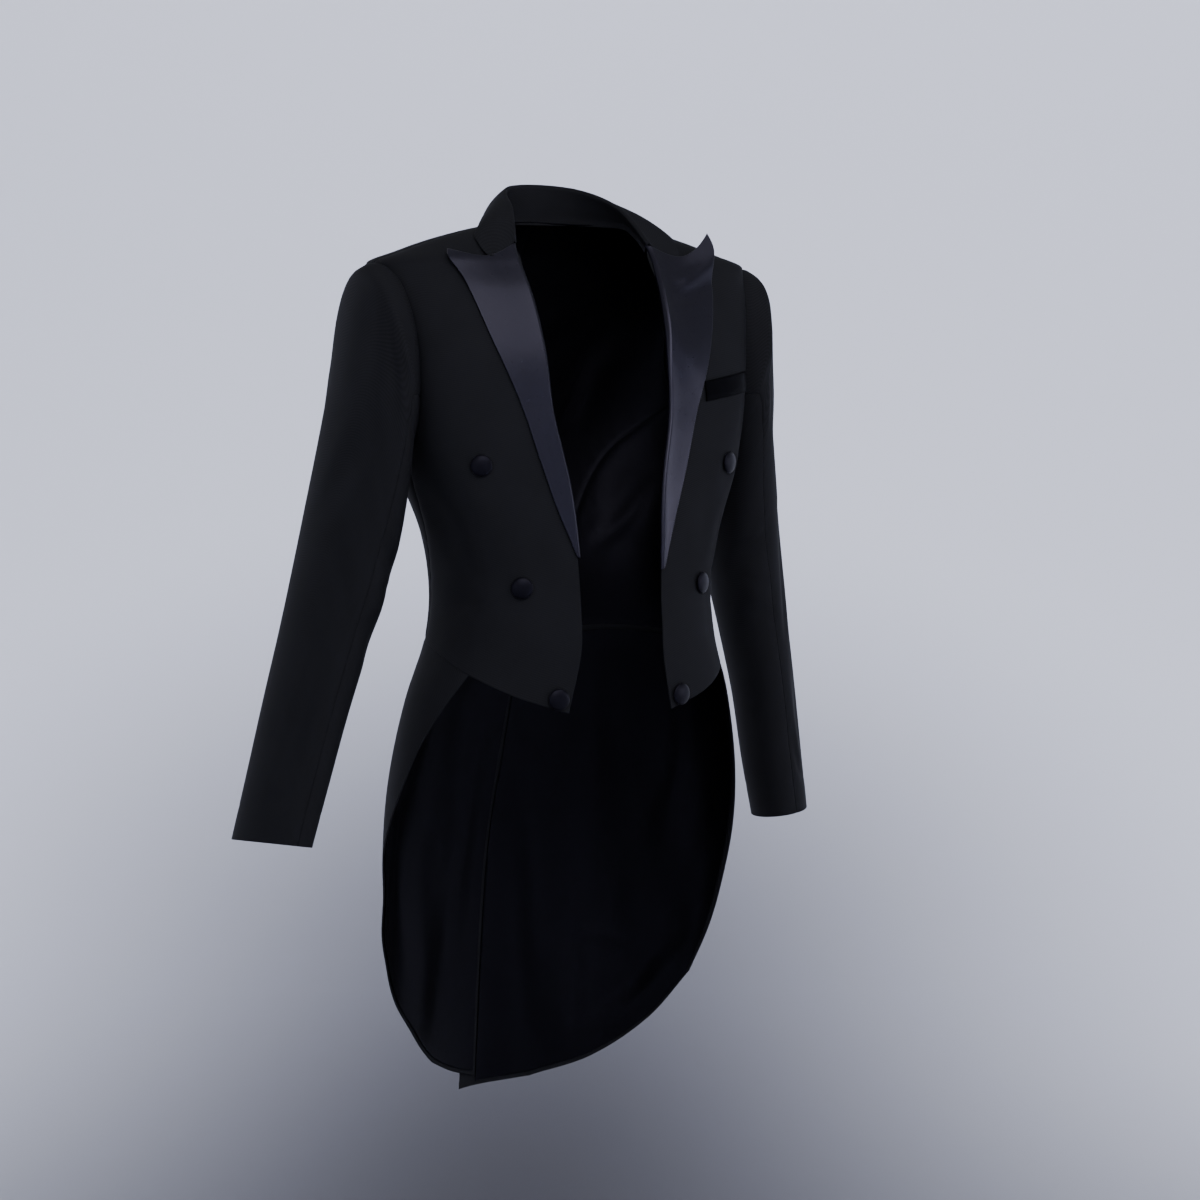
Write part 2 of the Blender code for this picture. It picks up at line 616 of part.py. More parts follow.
def add_collar(collection):
    """The stand rises from the neck seam to the fold, and the leaf falls from the fold over it."""
    seam, fold, edge = (collar_tracks(part) for part in ("seam", "fold", "edge"))
    last = 2 * (len(COLLAR) - 1)
    sags = [station.sag for station in COLLAR]
    sag = Track(range(last + 1), sags + sags[-2::-1])

    def curve(tracks, at):
        return np.array([track(at) for track in tracks])

    def outward(at):
        out = curve(edge, at) - curve(fold, at)
        out[2] = 0.0
        return out / np.linalg.norm(out)

    def leaf(side, at, down):
        start, end = curve(fold, at), curve(edge, at)
        raised = outward(at) + np.array([0.0, 0.0, 1.0])
        drop = np.array([0.0, 0.0, sag(at)])
        return start + (end - start) * down + (raised * COLLAR_BULGE - drop) * belly(down)

    def stand(side, at, down):
        inward = -outward(at)
        tucked = inward * COLLAR_TUCK - np.array([0.0, 0.0, COLLAR_CLOTH / 2])
        start, end = curve(fold, at) + tucked, curve(seam, at)
        return start + (end - start) * down + inward * STAND_BULGE * belly(down)

    for name, surface, rows, first in (("collar_leaf", leaf, 5, 0.02), ("collar_stand", stand, 2, 0.0)):
        outer = np.zeros((rows + 1, COLLAR_COLUMNS + 1, 3))
        inner = np.zeros_like(outer)
        for i, down in enumerate(np.linspace(first, 1, rows + 1)):
            for j, at in enumerate(np.linspace(0, last, COLLAR_COLUMNS + 1)):
                near = min(max(at, 0.03), last - 0.03)
                level = min(max(down, 0.06), 0.94)
                normal = normal_of(surface, "left", near, level, 0.02, 0.02)
                if normal.dot(outward(near)) < 0:
                    normal = -normal
                outer[i, j] = surface("left", at, down)
                inner[i, j] = outer[i, j] - normal * COLLAR_CLOTH
        add_wall(collection, name, outer, inner, SUITING, False)


def button_mesh():
    """The outline of a covered, domed button, from the middle of its top down its outer side."""
    steps = 5
    outline = []
    for step in range(steps):
        angle = math.radians(90 - 90 * step / (steps - 1))
        outline.append(
            (BUTTON_RADIUS * math.cos(angle), 0.0, BUTTON_HEIGHT * (0.42 + 0.58 * math.sin(angle)))
        )
    outline[0] = (0.0, 0.0, BUTTON_HEIGHT)
    outline += [(BUTTON_RADIUS * 0.86, 0.0, 0.0), (0.0, 0.0, 0.0)]
    mesh = bpy.data.meshes.new("covered_button")
    mesh.from_pydata(outline, [(i, i + 1) for i in range(len(outline) - 1)], [])
    mesh.materials.append(material_of(BUTTON_SATIN))
    return mesh


def add_buttons(collection, side, mesh):
    """Three covered buttons down one front."""
    for spot in BUTTON_SPOTS:
        point = body_point(side, spot.turn, spot.height)
        normal = body_normal(side, spot.turn, spot.height)
        point = point + normal * (body_lift(side, spot.turn, spot.height) + LAY_GAP)
        flip = Vector((-1.0, 1.0, 1.0)) if side == "right" else Vector((1.0, 1.0, 1.0))
        button = bpy.data.objects.new(f"button_{side}_{spot.name}", mesh)
        turned = (Vector(normal) * flip).to_track_quat("Z", "Y").to_matrix().to_4x4()
        button.matrix_world = Matrix.Translation(Vector(point) * flip) @ turned
        collection.objects.link(button)
        screw = button.modifiers.new("turned", "SCREW")
        screw.steps = BUTTON_SIDES
        screw.render_steps = BUTTON_SIDES
        screw.use_merge_vertices = True
        screw.merge_threshold = 0.0001
        screw.use_smooth_shade = True


def main():
    for obj in list(bpy.data.objects):
        bpy.data.objects.remove(obj, do_unlink=True)
    collection = bpy.data.collections.new("tailcoat")
    bpy.context.scene.collection.children.link(collection)
    buttons = button_mesh()
    for side in ("right", "left"):
        add_fronts(collection, side)
        add_side_body(collection, side)
        add_back(collection, side)
        add_skirt(collection, side)
        add_tail_lining(collection, side)
        add_sleeve(collection, side)
        add_lapel(collection, side)
        add_buttons(collection, side, buttons)
    add_collar(collection)
    add_welt(collection)


main()
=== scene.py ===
"""A men's evening tailcoat in worsted, with satin lapels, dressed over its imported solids.

Metres, +Z up. The wearer faces -Y and their left hand is towards +X. Each cut piece is a thin
shell that follows the same figure as the solids, on a finer grid and with its creases, seams and
turned edges. A place on the body is (turn in degrees, height) and one on a sleeve is (degrees
around, sections along). Pieces are worked out for the wearer's left and mirrored for the right.
"""

import logging
import math
from dataclasses import dataclass
from enum import Enum
from typing import NamedTuple, Protocol, Sequence

import bpy
import numpy as np
from mathutils import Matrix, Vector


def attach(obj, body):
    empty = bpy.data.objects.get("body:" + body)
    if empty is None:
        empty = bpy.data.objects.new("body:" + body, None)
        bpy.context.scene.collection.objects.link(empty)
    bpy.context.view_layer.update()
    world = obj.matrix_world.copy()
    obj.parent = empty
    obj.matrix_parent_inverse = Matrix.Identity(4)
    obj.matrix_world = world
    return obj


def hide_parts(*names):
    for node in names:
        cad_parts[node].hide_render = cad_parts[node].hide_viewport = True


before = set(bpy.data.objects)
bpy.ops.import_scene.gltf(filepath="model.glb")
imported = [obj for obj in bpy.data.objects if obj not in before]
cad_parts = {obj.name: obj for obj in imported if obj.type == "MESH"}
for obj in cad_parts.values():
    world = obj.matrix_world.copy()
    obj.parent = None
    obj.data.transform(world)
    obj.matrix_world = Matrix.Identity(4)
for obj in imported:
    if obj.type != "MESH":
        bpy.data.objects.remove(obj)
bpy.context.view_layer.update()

log = logging.getLogger("tailcoat")

BODY_CLOTH = 0.0018
SLEEVE_CLOTH = 0.0016
LAPEL_CLOTH = 0.0018
LINING_CLOTH = 0.0008
COLLAR_CLOTH = 0.0016
WELT_CLOTH = 0.0016
LAY_GAP = 0.0004
SHOULDER_DROP = 0.045
WAIST = -0.440
VENT_TOP = -0.700

# Distances of the grid's first lines from a piece's edge, close enough to round the turned cloth.
RIM_LINES = (0.0, 0.00015, 0.0005, 0.0010, 0.0020, 0.0040)


class Side(Enum):
    """The wearer's side that a piece is on."""

    RIGHT = "right"
    LEFT = "left"

    @property
    def mirrored(self) -> bool:
        """Whether the piece is turned over from the left pattern."""
        return self is Side.RIGHT


class Sides(Enum):
    """The wearer's sides that a fold or crease is on."""

    BOTH = (Side.RIGHT, Side.LEFT)
    RIGHT = (Side.RIGHT,)
    LEFT = (Side.LEFT,)


class CollarLine(Enum):
    """A line that runs the whole length of the collar."""

    SEAM = "seam"
    FOLD = "fold"
    EDGE = "edge"


class Held(Enum):
    """How a sheet of cloth is held."""

    DRAPED = "draped"
    FOLDED = "folded"
    STRETCHED = "stretched"


class FlatCut(NamedTuple):
    """What a sheet was cut to while flat: width, length and area, of the part that shows."""

    width: float
    length: float
    area: float


class Ring(NamedTuple):
    """One level ring of the figure; a roundness of 2 is an ellipse, more is squarer."""

    height: float
    half_width: float
    front: float
    back: float
    middle: float
    round_front: float
    round_back: float


class Section(NamedTuple):
    """A sleeve's cross section: outermost point, innermost point, half depth and inward turn."""

    outer_x: float
    outer_y: float
    outer_z: float
    inner_x: float
    inner_y: float
    inner_z: float
    half_depth: float
    turn_in: float


class Place(NamedTuple):
    """A place on the body: degrees round from the middle of the front, and height."""

    turn: float
    height: float


class Fold(NamedTuple):
    """A broad soft fold: its middle, half sizes, lean per unit along, and lift."""

    sides: Sides
    along: float
    around: float
    half_along: float
    half_around: float
    lean: float
    depth: float


class Crease(NamedTuple):
    """A narrow crease along a few places, with its half width and depth in metres."""

    sides: Sides
    places: tuple[tuple[float, float], ...]
    width: float
    depth: float


# A crease runs through this many points and fades towards both ends. Beside its trough stands a lower
# ridge: its share of the trough's depth, and how many half widths it is away.
CREASE_POINTS = 13
CREASE_FADE = 0.7
RIDGE_SHARE = 0.55
RIDGE_AWAY = 1.7


RINGS = (
    Ring(0.012, 0.060, 0.030, 0.066, 0.010, 2.0, 2.0),
    Ring(0.000, 0.078, 0.030, 0.076, 0.010, 2.0, 2.0),
    Ring(-0.009, 0.118, 0.029, 0.084, 0.012, 2.1, 2.1),
    Ring(-0.019, 0.156, 0.030, 0.091, 0.013, 2.3, 2.2),
    Ring(-0.031, 0.192, 0.035, 0.098, 0.014, 2.5, 2.3),
    Ring(-0.045, 0.227, 0.043, 0.103, 0.014, 2.6, 2.4),
    Ring(-0.075, 0.224, 0.060, 0.111, 0.013, 3.0, 2.5),
    Ring(-0.130, 0.212, 0.079, 0.120, 0.011, 3.5, 2.6),
    Ring(-0.200, 0.201, 0.090, 0.124, 0.008, 3.8, 2.6),
    Ring(-0.260, 0.188, 0.098, 0.119, 0.004, 3.5, 2.5),
    Ring(-0.330, 0.165, 0.106, 0.103, 0.000, 3.0, 2.3),
    Ring(-0.390, 0.158, 0.111, 0.097, 0.000, 2.6, 2.2),
    Ring(-0.440, 0.165, 0.115, 0.099, 0.000, 2.4, 2.1),
    Ring(-0.500, 0.187, 0.113, 0.118, 0.000, 2.2, 2.0),
    Ring(-0.590, 0.205, 0.112, 0.147, 0.000, 2.1, 2.0),
    Ring(-0.690, 0.212, 0.112, 0.173, 0.000, 2.0, 1.9),
    Ring(-0.820, 0.208, 0.112, 0.190, 0.000, 2.0, 1.85),
    Ring(-0.960, 0.198, 0.112, 0.202, 0.000, 2.0, 1.8),
)

FRONT_EDGE = (
    Place(90.0, 0.000),
    Place(63.0, -0.025),
    Place(49.0, -0.074),
    Place(41.0, -0.131),
    Place(37.0, -0.202),
    Place(30.0, -0.277),
    Place(26.0, -0.351),
    Place(24.0, -0.436),
    Place(30.5, -0.514),
)
FRONT_HEM = (Place(30.5, -0.514), Place(50.0, -0.498), Place(69.0, -0.473))
WAIST_FRONT = (Place(69.0, -0.473), Place(85.0, -0.452), Place(100.0, WAIST))
WAIST_BACK = (Place(100.0, WAIST), Place(130.0, -0.434), Place(161.0, -0.440))
SIDE_SEAM = (Place(91.0, -0.235), Place(96.0, -0.330), Place(100.0, WAIST))
SHOULDER_SEAM = (Place(90.0, 0.0), Place(90.0, -0.024), Place(90.0, -SHOULDER_DROP))
TAIL_FRONT = {
    Side.RIGHT: (
        Place(69.0, -0.473),
        Place(77.0, -0.512),
        Place(83.0, -0.548),
        Place(89.5, -0.597),
        Place(97.0, -0.645),
        Place(105.0, -0.697),
        Place(113.5, -0.744),
    ),
    Side.LEFT: (
        Place(69.0, -0.473),
        Place(77.0, -0.520),
        Place(83.0, -0.590),
        Place(92.0, -0.693),
        Place(99.0, -0.767),
        Place(106.5, -0.822),
    ),
}
TAIL_FOOT = {
    Side.RIGHT: (
        Place(113.5, -0.744),
        Place(121.0, -0.778),
        Place(129.0, -0.812),
        Place(145.0, -0.874),
        Place(161.0, -0.920),
    ),
    Side.LEFT: (Place(106.5, -0.822), Place(121.0, -0.878), Place(141.0, -0.924), Place(161.0, -0.946)),
}
# How the foot bows between the middle of the back and the pleat.
TAIL_BOW = {Side.RIGHT: (Place(171.0, -0.9345),), Side.LEFT: ()}
TAIL_END = {Side.RIGHT: -0.9425, Side.LEFT: -0.957}
NECK_BACK = (Place(180.0, 0.005), Place(135.0, 0.003), Place(90.0, 0.0))
PLEAT = (Place(161.0, -0.440), Place(157.0, -0.600), Place(158.0, -0.780))
PRINCESS_MIDDLE = (Place(132.0, -0.250), Place(148.0, -0.340), Place(161.0, -0.440))
LAPEL_EDGE = (
    Place(77.0, -0.035),
    Place(68.0, -0.0685),
    Place(58.0, -0.128),
    Place(49.0, -0.193),
    Place(41.5, -0.260),
    Place(35.5, -0.305),
    Place(27.0, -0.348),
)
LAPEL_TOP = (Place(62.0, -0.029), Place(68.0, -0.0410), Place(77.0, -0.035))

SECTIONS = (
    Section(0.2270, 0.0140, -0.0450, 0.1960, 0.0080, -0.2350, 0.0600, 0.0),
    Section(0.2445, 0.0130, -0.0530, 0.1975, 0.0120, -0.2430, 0.0660, 0.0),
    Section(0.2515, 0.0160, -0.0800, 0.1985, 0.0170, -0.2590, 0.0685, 1.0),
    Section(0.2570, 0.0195, -0.1350, 0.1995, 0.0220, -0.2820, 0.0690, 2.0),
    Section(0.2665, 0.0250, -0.2020, 0.2010, 0.0280, -0.3120, 0.0665, 4.0),
    Section(0.2790, 0.0320, -0.2750, 0.2050, 0.0340, -0.3480, 0.0630, 6.0),
    Section(0.2915, 0.0390, -0.3450, 0.2160, 0.0390, -0.3920, 0.0590, 8.0),
    Section(0.3065, 0.0450, -0.4200, 0.2340, 0.0455, -0.4500, 0.0545, 10.0),
    Section(0.3240, 0.0515, -0.5000, 0.2540, 0.0530, -0.5170, 0.0510, 12.0),
    Section(0.3400, 0.0580, -0.5780, 0.2720, 0.0630, -0.5900, 0.0485, 14.0),
    Section(0.3530, 0.0645, -0.6460, 0.2900, 0.0700, -0.6560, 0.0475, 16.0),
)

BODY_FOLDS = (
    Fold(Sides.BOTH, -0.325, 80.0, 0.055, 12.0, 60.0, -0.0035),
    Fold(Sides.BOTH, -0.390, 74.0, 0.040, 12.0, -70.0, -0.0030),
    Fold(Sides.BOTH, -0.290, 122.0, 0.060, 12.0, -40.0, -0.0035),
    Fold(Sides.BOTH, -0.660, 112.0, 0.150, 13.0, 20.0, -0.0060),
    Fold(Sides.BOTH, -0.720, 137.0, 0.180, 14.0, -12.0, 0.0080),
    Fold(Sides.LEFT, -0.860, 152.0, 0.110, 12.0, 10.0, -0.0035),
    Fold(Sides.RIGHT, -0.820, 150.0, 0.120, 13.0, 16.0, -0.0060),
)
SLEEVE_FOLDS = (
    Fold(Sides.BOTH, 2.4, 62.0, 1.6, 20.0, 9.0, -0.0040),
    Fold(Sides.BOTH, 4.6, 30.0, 1.3, 26.0, -22.0, -0.0035),
    Fold(Sides.BOTH, 5.6, 118.0, 0.5, 46.0, 10.0, -0.0026),
    Fold(Sides.BOTH, 6.3, 105.0, 0.4, 50.0, 20.0, 0.0016),
    Fold(Sides.BOTH, 6.9, 120.0, 0.5, 44.0, 16.0, -0.0022),
    Fold(Sides.BOTH, 5.2, -120.0, 1.2, 24.0, 14.0, -0.0040),
    Fold(Sides.BOTH, 8.6, 40.0, 1.2, 22.0, -8.0, -0.0030),
)

BODY_CREASES = (
    Crease(Sides.BOTH, ((70.0, -0.225), (62.0, -0.262), (55.0, -0.315)), 0.010, 0.0011),
    Crease(Sides.BOTH, ((84.0, -0.330), (72.0, -0.362), (58.0, -0.378)), 0.009, 0.0012),
    Crease(Sides.BOTH, ((88.0, -0.395), (76.0, -0.404), (64.0, -0.398)), 0.007, 0.0010),
    Crease(Sides.RIGHT, ((46.0, -0.300), (44.0, -0.350), (38.0, -0.400)), 0.012, 0.0009),
    Crease(Sides.LEFT, ((50.0, -0.235), (52.0, -0.300), (47.0, -0.365)), 0.012, 0.0012),
    Crease(Sides.BOTH, ((63.0, -0.285), (61.5, -0.350), (62.5, -0.430)), 0.0016, 0.0007),
    Crease(Sides.BOTH, ((112.0, -0.270), (122.0, -0.320), (137.0, -0.352)), 0.010, 0.0014),
    Crease(Sides.BOTH, ((172.0, -0.404), (158.0, -0.414), (142.0, -0.408)), 0.008, 0.0012),
    Crease(Sides.BOTH, ((120.0, -0.115), (134.0, -0.165), (140.0, -0.225)), 0.014, 0.0013),
    Crease(Sides.LEFT, ((176.0, -0.120), (158.0, -0.108), (140.0, -0.095)), 0.012, 0.0010),
    Crease(Sides.BOTH, ((104.0, -0.470), (107.0, -0.560), (112.0, -0.660)), 0.010, 0.0016),
    Crease(Sides.BOTH, ((128.0, -0.465), (130.0, -0.560), (128.0, -0.680)), 0.012, 0.0018),
    Crease(Sides.LEFT, ((108.0, -0.790), (120.0, -0.846), (139.0, -0.897)), 0.013, 0.0032),
    Crease(Sides.LEFT, ((142.0, -0.770), (142.0, -0.840), (142.5, -0.915)), 0.006, 0.0022),
    Crease(Sides.LEFT, ((142.0, -0.784), (134.0, -0.790), (124.0, -0.808)), 0.005, 0.0013),
    Crease(Sides.RIGHT, ((126.0, -0.640), (132.0, -0.720), (138.0, -0.830)), 0.012, 0.0020),
    Crease(Sides.LEFT, ((164.0, -0.640), (161.0, -0.760), (158.0, -0.900)), 0.010, 0.0018),
    Crease(Sides.RIGHT, ((166.0, -0.560), (169.0, -0.700), (168.0, -0.850)), 0.012, 0.0018),
)
SLEEVE_CREASES = (
    Crease(Sides.BOTH, ((96.0, 1.2), (84.0, 2.0), (66.0, 2.9)), 0.009, 0.0018),
    Crease(Sides.BOTH, ((132.0, 1.6), (112.0, 2.4), (90.0, 3.3)), 0.008, 0.0016),
    Crease(Sides.LEFT, ((60.0, 1.4), (52.0, 2.8), (58.0, 4.2)), 0.008, 0.0016),
    Crease(Sides.RIGHT, ((34.0, 1.6), (26.0, 2.8), (30.0, 4.0)), 0.014, 0.0014),
    Crease(Sides.BOTH, ((140.0, 5.2), (112.0, 5.5), (84.0, 5.3)), 0.008, 0.0012),
    Crease(Sides.BOTH, ((146.0, 5.9), (118.0, 6.1), (88.0, 6.3)), 0.007, 0.0011),
    Crease(Sides.BOTH, ((138.0, 6.6), (110.0, 6.7), (76.0, 7.0)), 0.008, 0.0010),
    Crease(Sides.LEFT, ((40.0, 5.2), (48.0, 6.4), (62.0, 7.4)), 0.009, 0.0020),
    Crease(Sides.RIGHT, ((62.0, 6.8), (48.0, 7.6), (40.0, 8.6)), 0.010, 0.0016),
    Crease(Sides.BOTH, ((-70.0, 5.0), (-84.0, 5.8), (-96.0, 6.4)), 0.010, 0.0018),
    Crease(Sides.BOTH, ((-40.0, 3.2), (-52.0, 4.2), (-58.0, 5.2)), 0.012, 0.0016),
    Crease(Sides.RIGHT, ((52.0, 9.0), (34.0, 9.35), (16.0, 9.3)), 0.009, 0.0022),
    Crease(Sides.LEFT, ((76.0, 8.6), (60.0, 9.2), (40.0, 9.5)), 0.009, 0.0018),
)


class CollarStation(NamedTuple):
    """The collar's neck seam, top fold and leaf edge at one station, and how far the leaf sags."""

    seam: tuple[float, float, float]
    fold: tuple[float, float, float]
    edge: tuple[float, float, float]
    sag: float


COLLAR = (
    CollarStation((0.084, -0.027, -0.025), (0.085, -0.0325, -0.0215), (0.1215, -0.0388, -0.0378), 0.004),
    CollarStation((0.081, -0.013, -0.011), (0.0775, -0.016, -0.001), (0.124, -0.019, -0.0185), 0.0015),
    CollarStation((0.077, 0.006, 0.0005), (0.069, 0.004, 0.018), (0.106, 0.005, -0.0025), 0.0),
    CollarStation((0.069, 0.034, 0.0034), (0.06, 0.03, 0.03), (0.084, 0.038, 0.0015), 0.0),
    CollarStation((0.052, 0.058, 0.0053), (0.045, 0.053, 0.038), (0.065, 0.0675, -0.001), 0.0),
    CollarStation((0.027, 0.07, 0.0058), (0.024, 0.065, 0.0415), (0.0365, 0.086, -0.0055), 0.0),
    CollarStation((0.0, 0.073, 0.0058), (0.0, 0.069, 0.0425), (0.0, 0.092, -0.008), 0.0),
)


def bump(t: np.ndarray) -> np.ndarray:
    """1 at t = 0, falling softly to 0 at t = -1 and 1."""
    return np.cos(np.minimum(np.abs(t), 1.0) * math.pi / 2) ** 2


def belly(t: np.ndarray) -> np.ndarray:
    """0 at t = 0 and 1, with a full round between."""
    return np.sin(math.pi * np.clip(t, 0.0, 1.0)) ** 0.8


def ease(t: np.ndarray) -> np.ndarray:
    """0 below t = 0, 1 above t = 1, and a soft step between."""
    t = np.clip(t, 0.0, 1.0)
    return t * t * (3 - 2 * t)


def unit(vectors: np.ndarray) -> np.ndarray:
    """The vectors at length 1."""
    return vectors / np.maximum(np.linalg.norm(vectors, axis=-1, keepdims=True), 1e-12)


class Track:
    """A smooth curve through rows of values at rising keys, that never swings past them."""

    def __init__(self, keys: Sequence[float], values: Sequence) -> None:
        """Args: keys: one number a row. values: one row of numbers for each key."""
        order = np.argsort(keys)
        self.keys = np.asarray(keys, float)[order]
        self.values = np.asarray(values, float).reshape(len(self.keys), -1)[order]
        steps = np.diff(self.values, axis=0) / np.diff(self.keys)[:, None]
        middle = (steps[1:] + steps[:-1]) / 2
        limit = 3 * np.minimum(np.abs(steps[1:]), np.abs(steps[:-1]))
        middle = np.sign(middle) * np.minimum(np.abs(middle), limit)
        middle[steps[1:] * steps[:-1] <= 0] = 0.0
        self.slopes = np.concatenate([steps[:1], middle, steps[-1:]])

    def at(self, key: np.ndarray) -> np.ndarray:
        """The values at each key, held level past both ends, with one more axis than the keys."""
        key = np.clip(np.asarray(key, float), self.keys[0], self.keys[-1])
        i = np.clip(np.searchsorted(self.keys, key) - 1, 0, len(self.keys) - 2)
        width = (self.keys[i + 1] - self.keys[i])[..., None]
        t = (key - self.keys[i])[..., None] / width
        return (
            self.values[i] * (1 + 2 * t) * (1 - t) ** 2
            + self.values[i + 1] * t * t * (3 - 2 * t)
            + self.slopes[i] * width * t * (1 - t) ** 2
            + self.slopes[i + 1] * width * t * t * (t - 1)
        )


class Surface(Protocol):
    """What a wall of cloth is laid on."""

    def point(self, places: np.ndarray) -> np.ndarray:
        """The points at these places, before any fold."""

    def normal(self, places: np.ndarray) -> np.ndarray:
        """The outward directions at these places."""

    def lift(self, side: Side, places: np.ndarray) -> np.ndarray:
        """How far the folds move the cloth out."""


def folds_lift(
    folds: Sequence[Fold], side: Side, around: np.ndarray, along: np.ndarray
) -> np.ndarray:
    """All broad folds together at each place."""
    total = np.zeros(np.shape(along))
    for fold in folds:
        if side in fold.sides.value:
            off_along = along - fold.along
            off_around = around - fold.around - fold.lean * off_along
            total += fold.depth * bump(off_along / fold.half_along) * bump(off_around / fold.half_around)
    return total


def creases_lift(
    creases: Sequence[Crease],
    side: Side,
    around: np.ndarray,
    along: np.ndarray,
    scale: tuple[float, float],
) -> np.ndarray:
    """All narrow creases together: a trough with a lower ridge beside it, fading at both ends.

    Args: scale: metres for one unit around and one unit along.
    """
    total = np.zeros(np.shape(along))
    here = np.stack([around * scale[0], along * scale[1]], axis=-1)
    for crease in creases:
        if side not in crease.sides.value:
            continue
        keys = np.linspace(0, 1, len(crease.places))
        line = Track(keys, np.array(crease.places) * scale).at(np.linspace(0, 1, CREASE_POINTS))
        nearest, signed, share = np.full(total.shape, np.inf), np.zeros(total.shape), np.zeros(total.shape)
        for k, (a, b) in enumerate(zip(line[:-1], line[1:])):
            way = b - a
            t = np.clip(((here - a) @ way) / max(way @ way, 1e-12), 0, 1)
            off = here - a - t[..., None] * way
            distance = np.linalg.norm(off, axis=-1)
            side_of = np.sign(way[0] * off[..., 1] - way[1] * off[..., 0])
            closer = distance < nearest
            nearest = np.where(closer, distance, nearest)
            signed = np.where(closer, distance * side_of, signed)
            share = np.where(closer, (k + t) / (len(line) - 1), share)
        ends = np.sin(math.pi * share) ** CREASE_FADE
        trough = np.exp(-((signed / crease.width) ** 2))
        ridge = np.exp(-((signed / crease.width - RIDGE_AWAY) ** 2))
        total += crease.depth * ends * (RIDGE_SHARE * ridge - trough)
    return total


class Figure:
    """The body that the coat is cut for, read from level rings."""

    METRES_A_DEGREE = 0.0031
    # Small steps round and up that a direction is measured over.
    TURN_STEP = np.array([1.0, 0.0])
    HEIGHT_STEP = np.array([0.0, 0.004])
    # The left tail lies over the right one: how far out, from what height and over how much height it
    # comes there, and the turn and the degrees before it over which it goes back to the figure.
    LAP_LIFT = 0.0032
    LAP_START = VENT_TOP + 0.10
    LAP_RUN = 0.05
    LAP_TURN = 178.0
    LAP_FADE = 12.0

    def __init__(self) -> None:
        """Makes the smooth curves through the rings."""
        self.rings = Track([ring.height for ring in RINGS], [ring[1:] for ring in RINGS])

    def point(self, places: np.ndarray) -> np.ndarray:
        """Args: places: (..., 2) of turn and height. Returns: (..., 3) points."""
        places = np.asarray(places, float)
        half_width, front, back, middle, round_front, round_back = np.moveaxis(
            self.rings.at(places[..., 1]), -1, 0
        )
        turn = np.radians(places[..., 0])
        across, forward = np.sin(turn), np.cos(turn)
        depth = np.where(forward >= 0, front + middle, back - middle)
        roundness = np.where(forward >= 0, round_front, round_back)
        reach = (np.abs(across) / half_width) ** roundness + (np.abs(forward) / depth) ** roundness
        radius = reach ** (-1 / roundness)
        return np.stack([radius * across, middle - radius * forward, places[..., 1]], axis=-1)

    def normal(self, places: np.ndarray) -> np.ndarray:
        """The outward directions, from small steps round and up."""
        du = self.point(places + self.TURN_STEP) - self.point(places - self.TURN_STEP)
        dv = self.point(places + self.HEIGHT_STEP) - self.point(places - self.HEIGHT_STEP)
        return unit(np.cross(du, dv))

    def lift(self, side: Side, places: np.ndarray) -> np.ndarray:
        """Folds, creases and, on the left, the tail's lap over the vent."""
        turn, height = places[..., 0], places[..., 1]
        lift = folds_lift(BODY_FOLDS, side, turn, height)
        lift += creases_lift(BODY_CREASES, side, turn, height, (self.METRES_A_DEGREE, 1.0))
        lift *= ARMHOLE.clear(places)
        if side is Side.LEFT:
            below = np.clip((self.LAP_START - height) / self.LAP_RUN, 0.0, 1.0)
            near = np.where(turn > self.LAP_TURN, 1.0, bump((turn - self.LAP_TURN) / self.LAP_FADE))
            lift += self.LAP_LIFT * below * near
        return lift


class Armhole(NamedTuple):
    """The armhole on the body: its middle, half height and how many degrees it is cut each way."""

    turn: float = 90.5
    middle: float = -0.140
    half_height: float = 0.095
    front_cut: float = 14.0
    back_cut: float = 22.0
    # Below 1 it is squarer than an oval.
    squareness: float = 0.85
    # Folds end round it, this many times its size out, and come in over this much more.
    calm: float = 1.02
    calm_run: float = 0.5

    def place(self, around: np.ndarray) -> np.ndarray:
        """Places at degrees around: 0 at the shoulder, 90 in front."""
        swing = np.sin(np.radians(around))
        cut = np.where(swing > 0, self.front_cut, self.back_cut)
        turn = self.turn - cut * np.sign(swing) * np.abs(swing) ** self.squareness
        height = self.middle + self.half_height * np.cos(np.radians(around))
        return np.stack([turn, height], axis=-1)

    def clear(self, places: np.ndarray) -> np.ndarray:
        """0 at the armhole's edge and 1 away from it."""
        turn = places[..., 0]
        across = (turn - self.turn) / np.where(turn < self.turn, self.front_cut, self.back_cut)
        down = (places[..., 1] - self.middle) / self.half_height
        return ease((np.hypot(across, down) - self.calm) / self.calm_run)


FIGURE = Figure()
ARMHOLE = Armhole()


